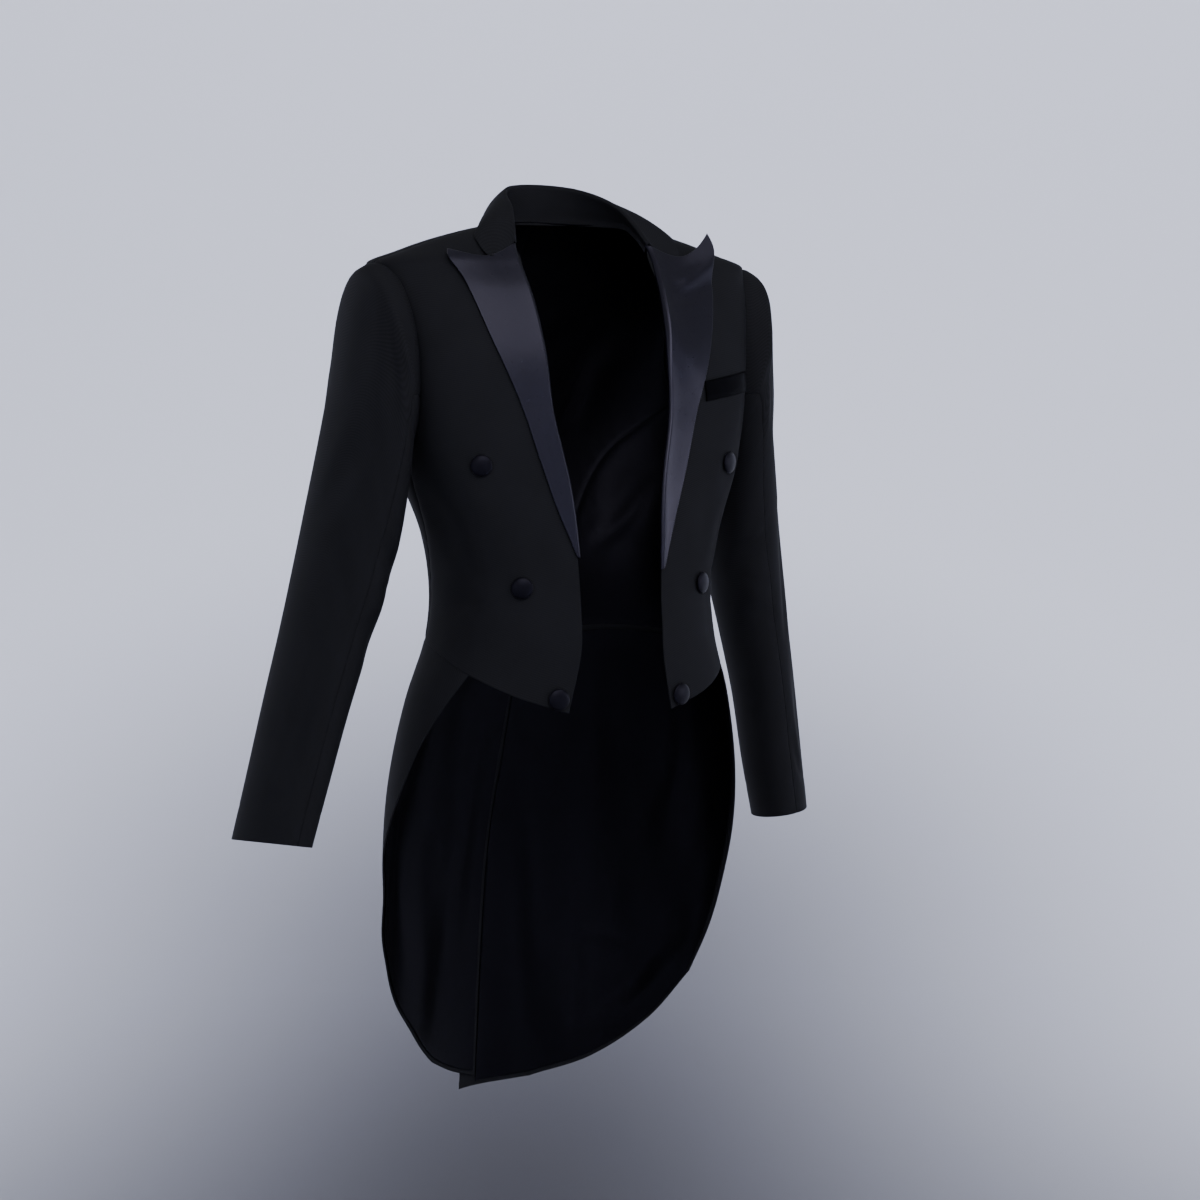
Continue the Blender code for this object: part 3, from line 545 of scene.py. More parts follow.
class SleeveTube:
    """The left sleeve's tube, from the armhole to the cuff."""

    # The body's turned edge lies this far under the figure, and the sleeve's head starts from it.
    SEAM_SINK = 0.0016
    METRES_A_DEGREE = 0.00108
    METRES_A_SECTION = 0.068
    # Small steps around and along that a direction is measured over, and the first section for it.
    AROUND_STEP = np.array([2.0, 0.0])
    ALONG_STEP = np.array([0.0, 0.1])
    FIRST_ALONG = 0.12
    # The folds come in over this many sections.
    FOLD_RUN = 1.5

    def __init__(self) -> None:
        """Makes the smooth curves through the sections."""
        self.track = Track(range(len(SECTIONS)), SECTIONS)

    def point(self, places: np.ndarray) -> np.ndarray:
        """Args: places: (..., 2) of degrees around and sections along. Returns: (..., 3) points."""
        places = np.asarray(places, float)
        around, along = np.radians(places[..., 0]), places[..., 1]
        section = Section(*np.moveaxis(self.track.at(along), -1, 0))
        outer = np.stack([section.outer_x, section.outer_y, section.outer_z], axis=-1)
        inner = np.stack([section.inner_x, section.inner_y, section.inner_z], axis=-1)
        turn_in = np.radians(section.turn_in)
        forward = np.stack([-np.sin(turn_in), -np.cos(turn_in), 0 * turn_in], axis=-1)
        forward = forward * section.half_depth[..., None]
        point = (
            (outer + inner) / 2
            + (outer - inner) / 2 * np.cos(around)[..., None]
            + forward * np.sin(around)[..., None]
        )
        armhole = ARMHOLE.place(places[..., 0])
        seam = FIGURE.point(armhole) - FIGURE.normal(armhole) * self.SEAM_SINK
        share = np.sin(np.clip(along, 0, 1) * math.pi / 2)[..., None]
        return seam * (1 - share) + point * share

    def normal(self, places: np.ndarray) -> np.ndarray:
        """The outward directions, from small steps around and along."""
        places = np.stack([places[..., 0], np.maximum(places[..., 1], self.FIRST_ALONG)], axis=-1)
        du = self.point(places + self.AROUND_STEP) - self.point(places - self.AROUND_STEP)
        dv = self.point(places + self.ALONG_STEP) - self.point(places - self.ALONG_STEP)
        return unit(np.cross(du, dv))

    def lift(self, side: Side, places: np.ndarray) -> np.ndarray:
        """Folds and creases, none at the armhole."""
        around, along = (places[..., 0] + 180) % 360 - 180, places[..., 1]
        lift = folds_lift(SLEEVE_FOLDS, side, around, along)
        scale = (self.METRES_A_DEGREE, self.METRES_A_SECTION)
        lift += creases_lift(SLEEVE_CREASES, side, around, along, scale)
        return lift * np.clip(along / self.FOLD_RUN, 0, 1)


SLEEVE = SleeveTube()


class Path(Protocol):
    """An edge of a piece, as places on the body."""

    def at(self, share: np.ndarray) -> np.ndarray:
        """The places at these shares of the whole."""


class SeamPath:
    """A path of places on the figure, even by length."""

    def __init__(self, places: Sequence[Place]) -> None:
        """Args: places: the named places that the path goes through."""
        rows = np.array(places, float)
        steps = np.linalg.norm(np.diff(FIGURE.point(rows), axis=0), axis=1)
        length = np.concatenate([[0.0], np.cumsum(steps)])
        self.track, self.length = Track(length, rows), length[-1]

    def at(self, share: np.ndarray) -> np.ndarray:
        """The places at these shares of the length."""
        return self.track.at(np.asarray(share) * self.length)


class ArmholePath:
    """A stretch of the armhole between two angles."""

    def __init__(self, start: float, end: float) -> None:
        """Args: start, end: degrees around the armhole."""
        self.start, self.end = start, end

    def at(self, share: np.ndarray) -> np.ndarray:
        """The places at these shares of the angle."""
        return ARMHOLE.place(self.start + (self.end - self.start) * np.asarray(share))


class JoinedPath:
    """Paths end to end, each taking its part of the whole."""

    def __init__(self, paths: Sequence[Path], parts: Sequence[float]) -> None:
        """Args: paths: in order. parts: how much of the whole each takes."""
        self.paths = paths
        ends = np.cumsum([0.0, *parts])
        self.bounds = ends / ends[-1]

    def at(self, share: np.ndarray) -> np.ndarray:
        """The places at these shares of the whole."""
        share = np.asarray(share, float)
        i = np.clip(np.searchsorted(self.bounds, share, side="right") - 1, 0, len(self.paths) - 1)
        out = np.zeros(share.shape + (2,))
        for k, path in enumerate(self.paths):
            low, high = self.bounds[k], self.bounds[k + 1]
            out[i == k] = path.at((share[i == k] - low) / (high - low))
        return out


def patch(
    top: Path, bottom: Path, left: Path, right: Path, u: np.ndarray, v: np.ndarray, top_fade: float = 1.0
) -> np.ndarray:
    """A grid of places inside four paths.

    Args:
        top, bottom, left, right: paths; top and bottom run left to right, left and right run down.
        u, v: shares across and down.
        top_fade: above 1, the top path's bow dies away sooner.
    Returns: (len(v), len(u), 2) places.
    """
    ends = np.array([0.0, 1.0])
    uu, vv = u[None, :, None], v[:, None, None]

    def bow(path: Path) -> np.ndarray:
        """How far the path leaves the straight line between its ends."""
        first, last = path.at(ends)
        return (path.at(u) - (1 - u[:, None]) * first - u[:, None] * last)[None]

    across = (1 - uu) * left.at(v)[:, None] + uu * right.at(v)[:, None]
    return across + (1 - vv) ** top_fade * bow(top) + vv * bow(bottom)


def lines(length: float, step: float) -> np.ndarray:
    """Shares of a length about step apart, with closer ones at both ends for the rounded edge."""
    rim = np.array(RIM_LINES) / length
    count = max(2, round((length - 2 * RIM_LINES[-1]) / step))
    inside = np.linspace(rim[-1], 1 - rim[-1], count + 1)
    return np.concatenate([rim[:-1], inside, 1 - rim[-2::-1]])


class EdgeDistances(NamedTuple):
    """How far each grid point is from each edge of its piece, in metres."""

    left: np.ndarray
    right: np.ndarray
    top: np.ndarray
    bottom: np.ndarray

    @staticmethod
    def of(points: np.ndarray) -> "EdgeDistances":
        """Measures along the grid's lines."""
        across = np.linalg.norm(np.diff(points, axis=1), axis=-1)
        down = np.linalg.norm(np.diff(points, axis=0), axis=-1)
        left = np.concatenate([np.zeros((len(points), 1)), np.cumsum(across, axis=1)], axis=1)
        top = np.concatenate([np.zeros((1, points.shape[1])), np.cumsum(down, axis=0)], axis=0)
        return EdgeDistances(left, left[:, -1:] - left, top, top[-1:] - top)

    def nearest(self) -> np.ndarray:
        """The distance from the nearest edge."""
        return np.minimum.reduce([self.left, self.right, self.top, self.bottom])


# Each sewn edge runs on this far, so that no light comes through the seam.
SEAM_RUN_ON = 0.0003
DITCH_DEPTH = 0.0007
DITCH_HALF_WIDTH = 0.0035
# Sewing leaves faint puckers: how high, how far apart, how far they reach, and how unevenly they lie.
PUCKER_LIFT = 0.00022
PUCKER_SPACING = 0.017
PUCKER_REACH = 0.009
PUCKER_DRIFT = 1.7
PUCKER_DRIFT_RATE = 71.0


class Seams(NamedTuple):
    """Which edges of a piece are sewn to a neighbour, from 0, free, to 1, sewn."""

    left: float = 0.0
    right: float = 0.0
    top: float = 0.0
    bottom: float = 0.0

    def nearest_free(self, off: EdgeDistances) -> np.ndarray:
        """The distance from the nearest edge that isn't sewn."""
        pairs = zip(self, (off.left, off.right, off.top, off.bottom))
        return np.minimum.reduce([off.left * 0 + 1.0] + [distance for sewn, distance in pairs if not sewn])

    def overlap(self, points: np.ndarray) -> np.ndarray:
        """Runs each sewn edge on a little."""
        moved = points.copy()
        for sewn, edge, inside in (
            (self.left, np.s_[:, 0], np.s_[:, 1]),
            (self.right, np.s_[:, -1], np.s_[:, -2]),
            (self.top, np.s_[0], np.s_[1]),
            (self.bottom, np.s_[-1], np.s_[-2]),
        ):
            if sewn:
                moved[edge] += unit(points[edge] - points[inside]) * SEAM_RUN_ON
        return moved

    def lift(self, off: EdgeDistances) -> np.ndarray:
        """The shallow ditch along each seam, with the faint pucker that sewing leaves."""
        total = np.zeros(off.left.shape)
        for sewn, distance, along in (
            (self.left, off.left, off.top),
            (self.right, off.right, off.top),
            (self.top, off.top, off.left),
            (self.bottom, off.bottom, off.left),
        ):
            total -= sewn * DITCH_DEPTH * np.exp(-((distance / DITCH_HALF_WIDTH) ** 2))
            drift = PUCKER_DRIFT * np.sin(along * PUCKER_DRIFT_RATE)
            wave = np.sin(along * 2 * math.pi / PUCKER_SPACING + drift)
            total += sewn * PUCKER_LIFT * wave * np.exp(-distance / PUCKER_REACH)
        return total


def smooth_mesh(name: str, points: Sequence, faces: Sequence) -> bpy.types.Mesh:
    """A mesh, shaded smooth."""
    mesh = bpy.data.meshes.new(name)
    mesh.from_pydata(points, [], faces)
    mesh.polygons.foreach_set("use_smooth", np.ones(len(faces), bool))
    return mesh


def add_object(name: str, data: bpy.types.ID) -> bpy.types.Object:
    """An object with this mesh, lamp or camera, linked to the scene."""
    thing = bpy.data.objects.new(name, data)
    bpy.context.scene.collection.objects.link(thing)
    return thing


def shell_mesh(
    name: str,
    outer: np.ndarray,
    inner: np.ndarray,
    off: EdgeDistances,
    mirrored: bool,
    inner_slots: np.ndarray,
) -> bpy.types.Object:
    """A closed shell of cloth between two grids, which meet halfway along the rim.

    Args:
        name: the object's name.
        outer, inner: (rows, columns, 3) points.
        off: the grid's distances from its edges, which lay it out on the flat cloth.
        mirrored: turns the piece over to the wearer's right.
        inner_slots: (rows - 1, columns - 1) material slots of the inside.
    Returns: the object, linked to the scene.
    """
    rows, columns = outer.shape[:2]
    rim = np.ones((rows, columns, 1), bool)
    rim[1:-1, 1:-1] = False
    outer = np.where(rim, (outer + inner) / 2, outer)
    uv = np.stack([off.left, -off.top], axis=-1)
    index = np.arange(rows * columns).reshape(rows, columns)
    inside = index.copy()
    inside[1:-1, 1:-1] = rows * columns + np.arange((rows - 2) * (columns - 2)).reshape(rows - 2, -1)
    points = np.concatenate([outer.reshape(-1, 3), inner[1:-1, 1:-1].reshape(-1, 3)])
    if mirrored:
        points = points * [-1.0, 1.0, 1.0]

    def quads(grid: np.ndarray) -> np.ndarray:
        """The corners of every cell."""
        return np.stack([grid[:-1, :-1], grid[:-1, 1:], grid[1:, 1:], grid[1:, :-1]], -1).reshape(-1, 4)

    r, c = rows // 2, columns // 2
    way = np.cross(outer[r, c + 1] - outer[r, c], outer[r + 1, c] - outer[r, c])
    turned = (way @ (outer[r, c] - inner[r, c]) < 0) != mirrored
    front, back = quads(index), quads(inside)[:, ::-1]
    flat = quads(index), quads(index)[:, ::-1]
    if turned:
        front, back = front[:, ::-1], back[:, ::-1]
        flat = flat[0][:, ::-1], flat[1][:, ::-1]
    faces = np.concatenate([front, back])
    mesh = smooth_mesh(name, points.tolist(), faces.tolist())
    layer = mesh.uv_layers.new(name="cloth")
    loops = np.concatenate(flat).reshape(-1)
    layer.data.foreach_set("uv", uv.reshape(-1, 2)[loops].astype(np.float32).reshape(-1))
    slots = np.concatenate([np.zeros(len(front), int), inner_slots.reshape(-1)])
    mesh.polygons.foreach_set("material_index", slots.astype(np.int32))
    mesh.update()
    return add_object(name, mesh)


def edge_round(distance: np.ndarray, thickness: float) -> np.ndarray:
    """How far a face falls towards the wall's middle near an edge, for a half-round turned edge."""
    radius = thickness / 2
    left = radius - np.minimum(distance, radius)
    return radius - np.sqrt(np.maximum(radius**2 - left**2, 0.0))


def wall(
    name: str,
    surface: Surface,
    side: Side,
    places: np.ndarray,
    thickness: float,
    seams: Seams,
    extra: np.ndarray | float = 0.0,
    facing: np.ndarray | None = None,
) -> bpy.types.Object:
    """A shell of cloth on a surface.

    Args:
        places: the grid on the surface.
        seams: which edges are sewn.
        extra: lift beyond the folds.
        facing: where the inside is the outer cloth, or None for lining all over.
    Returns: the object.
    """
    base = surface.point(places)
    normal = surface.normal(places)
    off = EdgeDistances.of(base)
    lift = surface.lift(side, places) + seams.lift(off) + extra
    base = seams.overlap(base)
    drop = edge_round(off.nearest(), thickness)[..., None]
    outer = base + normal * lift[..., None] - normal * drop
    drop = edge_round(seams.nearest_free(off), thickness)[..., None]
    inner = base + normal * (lift[..., None] - thickness) + normal * drop
    slots = np.ones((outer.shape[0] - 1, outer.shape[1] - 1), int)
    if facing is not None:
        slots[facing[1:, 1:]] = 0
    return shell_mesh(name, outer, inner, off, side.mirrored, slots)


def true_normals(grid: np.ndarray) -> np.ndarray:
    """The directions across a free grid of points."""
    return unit(np.cross(np.gradient(grid, axis=1), np.gradient(grid, axis=0)))


def free_shell(
    name: str, outer: np.ndarray, thickness: float, mirrored: bool, out: np.ndarray
) -> bpy.types.Object:
    """A shell of one cloth whose inside is found along the grid's own directions.

    Args: out: rough outward directions, one for each point, that say which way is out.
    Returns: the object.
    """
    normal = true_normals(outer)
    if (normal * out).sum() < 0:
        normal = -normal
    off = EdgeDistances.of(outer)
    drop = edge_round(off.nearest(), thickness)[..., None]
    inner = outer - normal * (thickness - drop)
    outer = outer - normal * drop
    slots = np.zeros((outer.shape[0] - 1, outer.shape[1] - 1), int)
    return shell_mesh(name, outer, inner, off, mirrored, slots)


def linear(hex_colour: str) -> tuple[float, float, float, float]:
    """An sRGB hex colour as linear RGBA."""
    channels = [int(hex_colour[i : i + 2], 16) / 255 for i in (0, 2, 4)]
    turned = [c / 12.92 if c <= 0.04045 else ((c + 0.055) / 1.055) ** 2.4 for c in channels]
    return (*turned, 1.0)


def feed(tree: bpy.types.NodeTree, node: bpy.types.Node, links: dict) -> None:
    """Feeds a node's inputs, by name or number, from a socket each or with a plain value."""
    for key, value in links.items():
        if isinstance(value, bpy.types.NodeSocket):
            tree.links.new(value, node.inputs[key])
        else:
            node.inputs[key].default_value = value


def add_node(tree: bpy.types.NodeTree, kind: str, links: dict | None = None, **settings) -> bpy.types.Node:
    """Adds a node.

    Args:
        kind: the node's type.
        links: input name or number to the socket that feeds it, or to a plain value.
        settings: attributes of the node.
    Returns: the node.
    """
    node = tree.nodes.new(kind)
    for key, value in settings.items():
        setattr(node, key, value)
    feed(tree, node, links or {})
    return node


def new_material(name: str) -> tuple[bpy.types.Material, bpy.types.NodeTree, bpy.types.Node]:
    """A material with its node tree and its Principled shader."""
    material = bpy.data.materials.new(name)
    material.use_nodes = True
    tree = material.node_tree
    return material, tree, tree.nodes["Principled BSDF"]


def wave_scale(period_mm: float) -> float:
    """The wave texture's scale that gives straight bands this far apart, on coordinates in metres."""
    return math.pi / 10 / (period_mm / 1000)


@dataclass(frozen=True)
class WorstedSuiting:
    """Worsted wool-blend twill, woven and pressed: matt, near black, with a faint cool nap."""

    name: str = "worsted_twill"
    shade: str = "212123"
    light: str = "28282b"
    # Real twill ribs are 0.5 mm apart, too fine to show, so they are drawn four times as coarse.
    rib_mm: float = 2.0
    # Slubs and the press leave a cloudy change of tone over some centimetres.
    cloud_mm: float = 60.0
    # The twill climbs at this angle, and its yarn is uneven at about 1.1 mm.
    twill_degrees: float = 58.0
    yarn_scale: float = 900.0
    # How much of the tone is cloud, and the range of both together that runs from shade to light.
    cloud_share: float = 0.55
    tone_low: float = 0.25
    tone_high: float = 0.85
    relief: float = 0.035
    roughness: float = 0.66
    gloss: float = 0.04
    sheen: float = 0.010
    sheen_tint: str = "9a9bb0"

    def material(self) -> bpy.types.Material:
        """Builds the material."""
        material, tree, shader = new_material(self.name)
        place = add_node(tree, "ShaderNodeTexCoord").outputs["UV"]
        climb = (0.0, 0.0, math.radians(self.twill_degrees))
        turned = add_node(tree, "ShaderNodeMapping", {"Vector": place, "Rotation": climb})
        ribs = add_node(
            tree,
            "ShaderNodeTexWave",
            {"Vector": turned.outputs[0], "Scale": wave_scale(self.rib_mm), "Distortion": 0.6, "Detail": 1.0},
        )
        yarn = add_node(
            tree,
            "ShaderNodeTexNoise",
            {"Vector": place, "Scale": self.yarn_scale, "Detail": 3.0, "Roughness": 0.6},
        )
        cloud = add_node(
            tree, "ShaderNodeTexNoise", {"Vector": place, "Scale": 1000 / self.cloud_mm, "Detail": 4.0}
        )
        weave = add_node(
            tree, "ShaderNodeMath", {0: ribs.outputs["Fac"], 1: yarn.outputs["Fac"]}, operation="MULTIPLY"
        )
        tone = add_node(
            tree,
            "ShaderNodeMath",
            {0: cloud.outputs["Fac"], 1: self.cloud_share, 2: weave.outputs[0]},
            operation="MULTIPLY_ADD",
        )
        colour = add_node(tree, "ShaderNodeValToRGB", {"Fac": tone.outputs[0]})
        shade, light = colour.color_ramp.elements
        shade.position, shade.color = self.tone_low, linear(self.shade)
        light.position, light.color = self.tone_high, linear(self.light)
        bumped = add_node(
            tree, "ShaderNodeBump", {"Height": weave.outputs[0], "Strength": self.relief, "Distance": 0.0003}
        )
        finish = {
            "Base Color": colour.outputs["Color"],
            "Normal": bumped.outputs[0],
            "Roughness": self.roughness,
            "Specular IOR Level": self.gloss,
            "Sheen Weight": self.sheen,
            "Sheen Roughness": 0.45,
            "Sheen Tint": linear(self.sheen_tint),
        }
        feed(tree, shader, finish)
        return material


@dataclass(frozen=True)
class Satin:
    """Satin, woven with long floats: a broad soft gloss that runs across the fine weft lines."""

    name: str
    shade: str
    light: str
    roughness: float
    gloss: float
    # The floats are 0.3 mm apart, drawn as 1.2 mm so that a trace of them shows close up.
    float_mm: float = 1.2
    # The cloth isn't quite flat: how far apart and how deep, in metres, its soft ripples are.
    ripple_mm: float = 45.0
    ripple: float = 0.0005
    # Its yarn is uneven at about 2.4 mm, which changes the roughness a little.
    slub_scale: float = 420.0
    smoother: float = 0.03
    rougher: float = 0.05
    gloss_tint: str = "ddd8f4"
    sheen: float = 0.03
    sheen_tint: str = "a7a2bd"

    def material(self) -> bpy.types.Material:
        """Builds the material."""
        material, tree, shader = new_material(self.name)
        place = add_node(tree, "ShaderNodeTexCoord").outputs["UV"]
        floats = add_node(
            tree,
            "ShaderNodeTexWave",
            {"Vector": place, "Scale": wave_scale(self.float_mm), "Distortion": 0.8, "Detail": 2.0},
            bands_direction="Y",
        )
        ripple = add_node(
            tree, "ShaderNodeTexNoise", {"Vector": place, "Scale": 1000 / self.ripple_mm, "Detail": 2.0}
        )
        slub = add_node(
            tree, "ShaderNodeTexNoise", {"Vector": place, "Scale": self.slub_scale, "Detail": 2.0}
        )
        mixed = add_node(
            tree, "ShaderNodeMath", {0: floats.outputs["Fac"], 1: slub.outputs["Fac"]}, operation="MULTIPLY"
        )
        colour = add_node(tree, "ShaderNodeValToRGB", {"Fac": mixed.outputs[0]})
        colour.color_ramp.elements[0].color = linear(self.shade)
        colour.color_ramp.elements[1].color = linear(self.light)
        rough = add_node(
            tree,
            "ShaderNodeMapRange",
            {
                "Value": slub.outputs["Fac"],
                "To Min": self.roughness - self.smoother,
                "To Max": self.roughness + self.rougher,
            },
        )
        fine = add_node(
            tree, "ShaderNodeBump", {"Height": mixed.outputs[0], "Strength": 0.12, "Distance": 0.0002}
        )
        soft = add_node(
            tree,
            "ShaderNodeBump",
            {
                "Height": ripple.outputs["Fac"],
                "Strength": 0.5,
                "Distance": self.ripple,
                "Normal": fine.outputs[0],
            },
        )
        finish = {
            "Base Color": colour.outputs["Color"],
            "Normal": soft.outputs[0],
            "Roughness": rough.outputs[0],
            "Specular IOR Level": self.gloss,
            "Specular Tint": linear(self.gloss_tint),
            "Sheen Weight": self.sheen,
            "Sheen Roughness": 0.35,
            "Sheen Tint": linear(self.sheen_tint),
        }
        feed(tree, shader, finish)
        return material


SUITING = WorstedSuiting()
LAPEL_SATIN = Satin("lapel_satin", "0e0d13", "17161e", 0.28, 0.60)
# The welt's satin is drawn near black, nearly without gloss and with no sheen, far darker than the lapel
# satin: its darkness is painted shade.
WELT_SATIN = Satin("welt_satin", "030304", "060607", 0.50, 0.05, sheen=0.0)
LINING_SATIN = Satin("lining_satin", "050506", "08080a", 0.44, 0.17, ripple_mm=30.0, ripple=0.0012, sheen=0.0)
BUTTON_SATIN = Satin("button_satin", "0b0a0f", "121118", 0.36, 0.20, ripple_mm=12.0, ripple=0.0003)


class Wardrobe:
    """The finished materials, made once, and the way each piece is dressed and parented to the root."""

    def __init__(self) -> None:
        """Builds every finish."""
        self.suiting = SUITING.material()
        self.lapel = LAPEL_SATIN.material()
        self.welt = WELT_SATIN.material()
        self.lining = LINING_SATIN.material()
        self.button = BUTTON_SATIN.material()

    def hang(
        self,
        piece: bpy.types.Object,
        nodes: Sequence[str],
        materials: Sequence[bpy.types.Material],
        cut: FlatCut | None,
        held: Held = Held.DRAPED,
    ) -> None:
        """Gives a piece its cloth, parents it to the root and hides the solids that it stands for.

        Args:
            nodes: the solids that it stands for.
            materials: the outer cloth and, for a shell, the inside.
            cut: what it was cut to, or None for what isn't a sheet; not used.
            held: how the cloth is held; not used.
        """
        for material in materials:
            piece.data.materials.append(material)
        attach(piece, "root")
        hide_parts(*nodes)
        log.info("%s: %d faces for %s", piece.name, len(piece.data.polygons), ", ".join(nodes))

    def hang_suiting(self, piece: bpy.types.Object, node: str, cut: FlatCut) -> None:
        """Dresses a draped piece of suiting, lined with satin, that stands for one solid."""
        self.hang(piece, [node], [self.suiting, self.lining], cut)


# Degrees round the armhole, from the shoulder, where the side seam and the curved back seam start.
SIDE_SEAM_START = 178.0
PRINCESS_START = 236.0

# How many parts of the whole each stretch of a joined edge takes.
HEM_PARTS = (6, 5)
OUTSIDE_PARTS = (10, 10)
BACK_PARTS = (9, 10, 12)
BACK_TOP_PARTS = (4, 5)
WAIST_PARTS = (5, 8)


def side_seam() -> SeamPath:
    """The side seam, from the armhole's foot down."""
    return SeamPath((Place(*ARMHOLE.place(np.array(SIDE_SEAM_START))),) + SIDE_SEAM[1:])


def princess_seam() -> SeamPath:
    """The curved seam between back and side body."""
    return SeamPath((Place(*ARMHOLE.place(np.array(PRINCESS_START))),) + PRINCESS_MIDDLE)


def pleat(side: Side) -> SeamPath:
    """The pleat line, from the waist seam down to the tail's foot."""
    return SeamPath(PLEAT + TAIL_FOOT[side][-1:])


@dataclass(frozen=True)
class BodyPanel:
    """A panel of suiting on the body: names, rough size, grid step, flat cut and sewn edges."""

    name: str
    node: str
    size: tuple[float, float]
    step: float
    cut: FlatCut
    seams: Seams

    def grid_lines(self) -> tuple[np.ndarray, np.ndarray]:
        """Shares across and down for the panel's grid."""
        return lines(self.size[0], self.step), lines(self.size[1], self.step)

    def sew(
        self, side: Side, wardrobe: Wardrobe, places: np.ndarray, facing: np.ndarray | None = None
    ) -> None:
        """Builds and dresses the panel.

        Args:
            places: the grid on the figure.
            facing: where the inside is suiting too, or None for lining all over.
        """
        piece = wall(
            f"{self.name}_{side.value}", FIGURE, side, places, BODY_CLOTH, self.seams, facing=facing
        )
        wardrobe.hang_suiting(piece, f"{self.node}_{side.value}", self.cut)


@dataclass(frozen=True)
class Forepart(BodyPanel):
    """The front: shoulder seam, roll and front edge, cut-away hem, armhole and side seam."""

    name: str = "forepart"
    node: str = "front"
    size: tuple[float, float] = (0.20, 0.50)
    step: float = 0.0045
    cut: FlatCut = FlatCut(0.27, 0.54, 0.085)
    seams: Seams = Seams(right=1.0, top=1.0)
    # The front's own cloth is turned in this far along the edge and the hem; lining covers the rest.
    edge_facing: float = 0.075
    hem_facing: float = 0.03

    def build(self, side: Side, wardrobe: Wardrobe) -> None:
        """Builds and dresses one front."""
        hem = JoinedPath((SeamPath(FRONT_HEM), SeamPath(WAIST_FRONT)), HEM_PARTS)
        outside = JoinedPath((ArmholePath(0.0, SIDE_SEAM_START), side_seam()), OUTSIDE_PARTS)
        places = patch(SeamPath(SHOULDER_SEAM), hem, SeamPath(FRONT_EDGE), outside, *self.grid_lines())
        off = EdgeDistances.of(FIGURE.point(places))
        facing = (off.left < self.edge_facing) | (off.bottom < self.hem_facing)
        self.sew(side, wardrobe, places, facing)


@dataclass(frozen=True)
class SideBody(BodyPanel):
    """The narrow panel between the side seam and the curved back seam."""

    name: str = "side_panel"
    node: str = "side_body"
    size: tuple[float, float] = (0.14, 0.22)
    step: float = 0.0045
    cut: FlatCut = FlatCut(0.17, 0.27, 0.031)
    seams: Seams = Seams(1.0, 1.0, 1.0, 1.0)

    def build(self, side: Side, wardrobe: Wardrobe) -> None:
        """Builds and dresses one side body."""
        armhole = ArmholePath(SIDE_SEAM_START, PRINCESS_START)
        places = patch(armhole, SeamPath(WAIST_BACK), side_seam(), princess_seam(), *self.grid_lines())
        self.sew(side, wardrobe, places)


class VentPath:
    """The middle of the back: a seam down to the vent, then the tail's free edge."""

    # The left tail runs on this many degrees past the middle, and comes there over this height.
    LAP_TURN = 5.0
    LAP_START = VENT_TOP + 0.105
    LAP_RUN = 0.030

    def __init__(self, side: Side) -> None:
        """Args: side: the left one laps over past the middle."""
        self.lap = self.LAP_TURN if side is Side.LEFT else 0.0
        stretches = ((0.005, -0.10, -0.20), (-0.20, -0.32, WAIST), (WAIST, VENT_TOP, TAIL_END[side]))
        seams = [SeamPath([Place(180.0, height) for height in heights]) for heights in stretches]
        self.whole = JoinedPath(seams, BACK_PARTS)

    def at(self, share: np.ndarray) -> np.ndarray:
        """The places at these shares."""
        places = self.whole.at(share)
        places[..., 0] += self.lap * ease((self.LAP_START - places[..., 1]) / self.LAP_RUN)
        return places


def back_places(side: Side, u: np.ndarray, v: np.ndarray) -> np.ndarray:
    """Places on the back, from the middle out to the pleat and from the neck down."""
    middle = VentPath(side)
    outside = JoinedPath(
        (ArmholePath(360.0, PRINCESS_START), princess_seam(), pleat(side)), BACK_PARTS
    )
    foot = SeamPath((Place(180.0 + middle.lap, TAIL_END[side]), *TAIL_BOW[side], TAIL_FOOT[side][-1]))
    top = JoinedPath((SeamPath(NECK_BACK), SeamPath(SHOULDER_SEAM)), BACK_TOP_PARTS)
    return patch(top, foot, middle, outside, u, v, top_fade=5.0)


def skirt_places(side: Side, u: np.ndarray, v: np.ndarray) -> np.ndarray:
    """Places on the skirt, from the tail's front edge back to the pleat and from the waist down."""
    top = JoinedPath((SeamPath(WAIST_FRONT), SeamPath(WAIST_BACK)), WAIST_PARTS)
    return patch(top, SeamPath(TAIL_FOOT[side]), SeamPath(TAIL_FRONT[side]), pleat(side), u, v)


@dataclass(frozen=True)
class BackPanel(BodyPanel):
    """The back, cut in one with the middle of the tail."""

    name: str = "back_panel"
    node: str = "back"
    size: tuple[float, float] = (0.13, 0.99)
    step: float = 0.005
    cut: FlatCut = FlatCut(0.21, 1.02, 0.102)
    seams: Seams = Seams(left=0.8, right=1.0, top=1.0)

    def build(self, side: Side, wardrobe: Wardrobe) -> None:
        """Builds and dresses one back."""
        places = back_places(side, *self.grid_lines())
        self.sew(side, wardrobe, places, places[..., 1] < WAIST)


@dataclass(frozen=True)
class Skirt(BodyPanel):
    """The skirt, sewn on at the waist and running down the tail, with its own cloth inside too."""

    name: str = "skirt_panel"
    node: str = "skirt"
    size: tuple[float, float] = (0.24, 0.44)
    step: float = 0.005
    cut: FlatCut = FlatCut(0.32, 0.52, 0.093)
    seams: Seams = Seams(right=1.0, top=1.0)
    # The top edge runs up a little inside the front's and the body's own edge.
    tuck: float = 0.0010

    def build(self, side: Side, wardrobe: Wardrobe) -> None:
        """Builds and dresses one skirt."""
        places = skirt_places(side, *self.grid_lines())
        places[0, :, 1] += self.tuck
        self.sew(side, wardrobe, places, np.ones(places.shape[:2], bool))


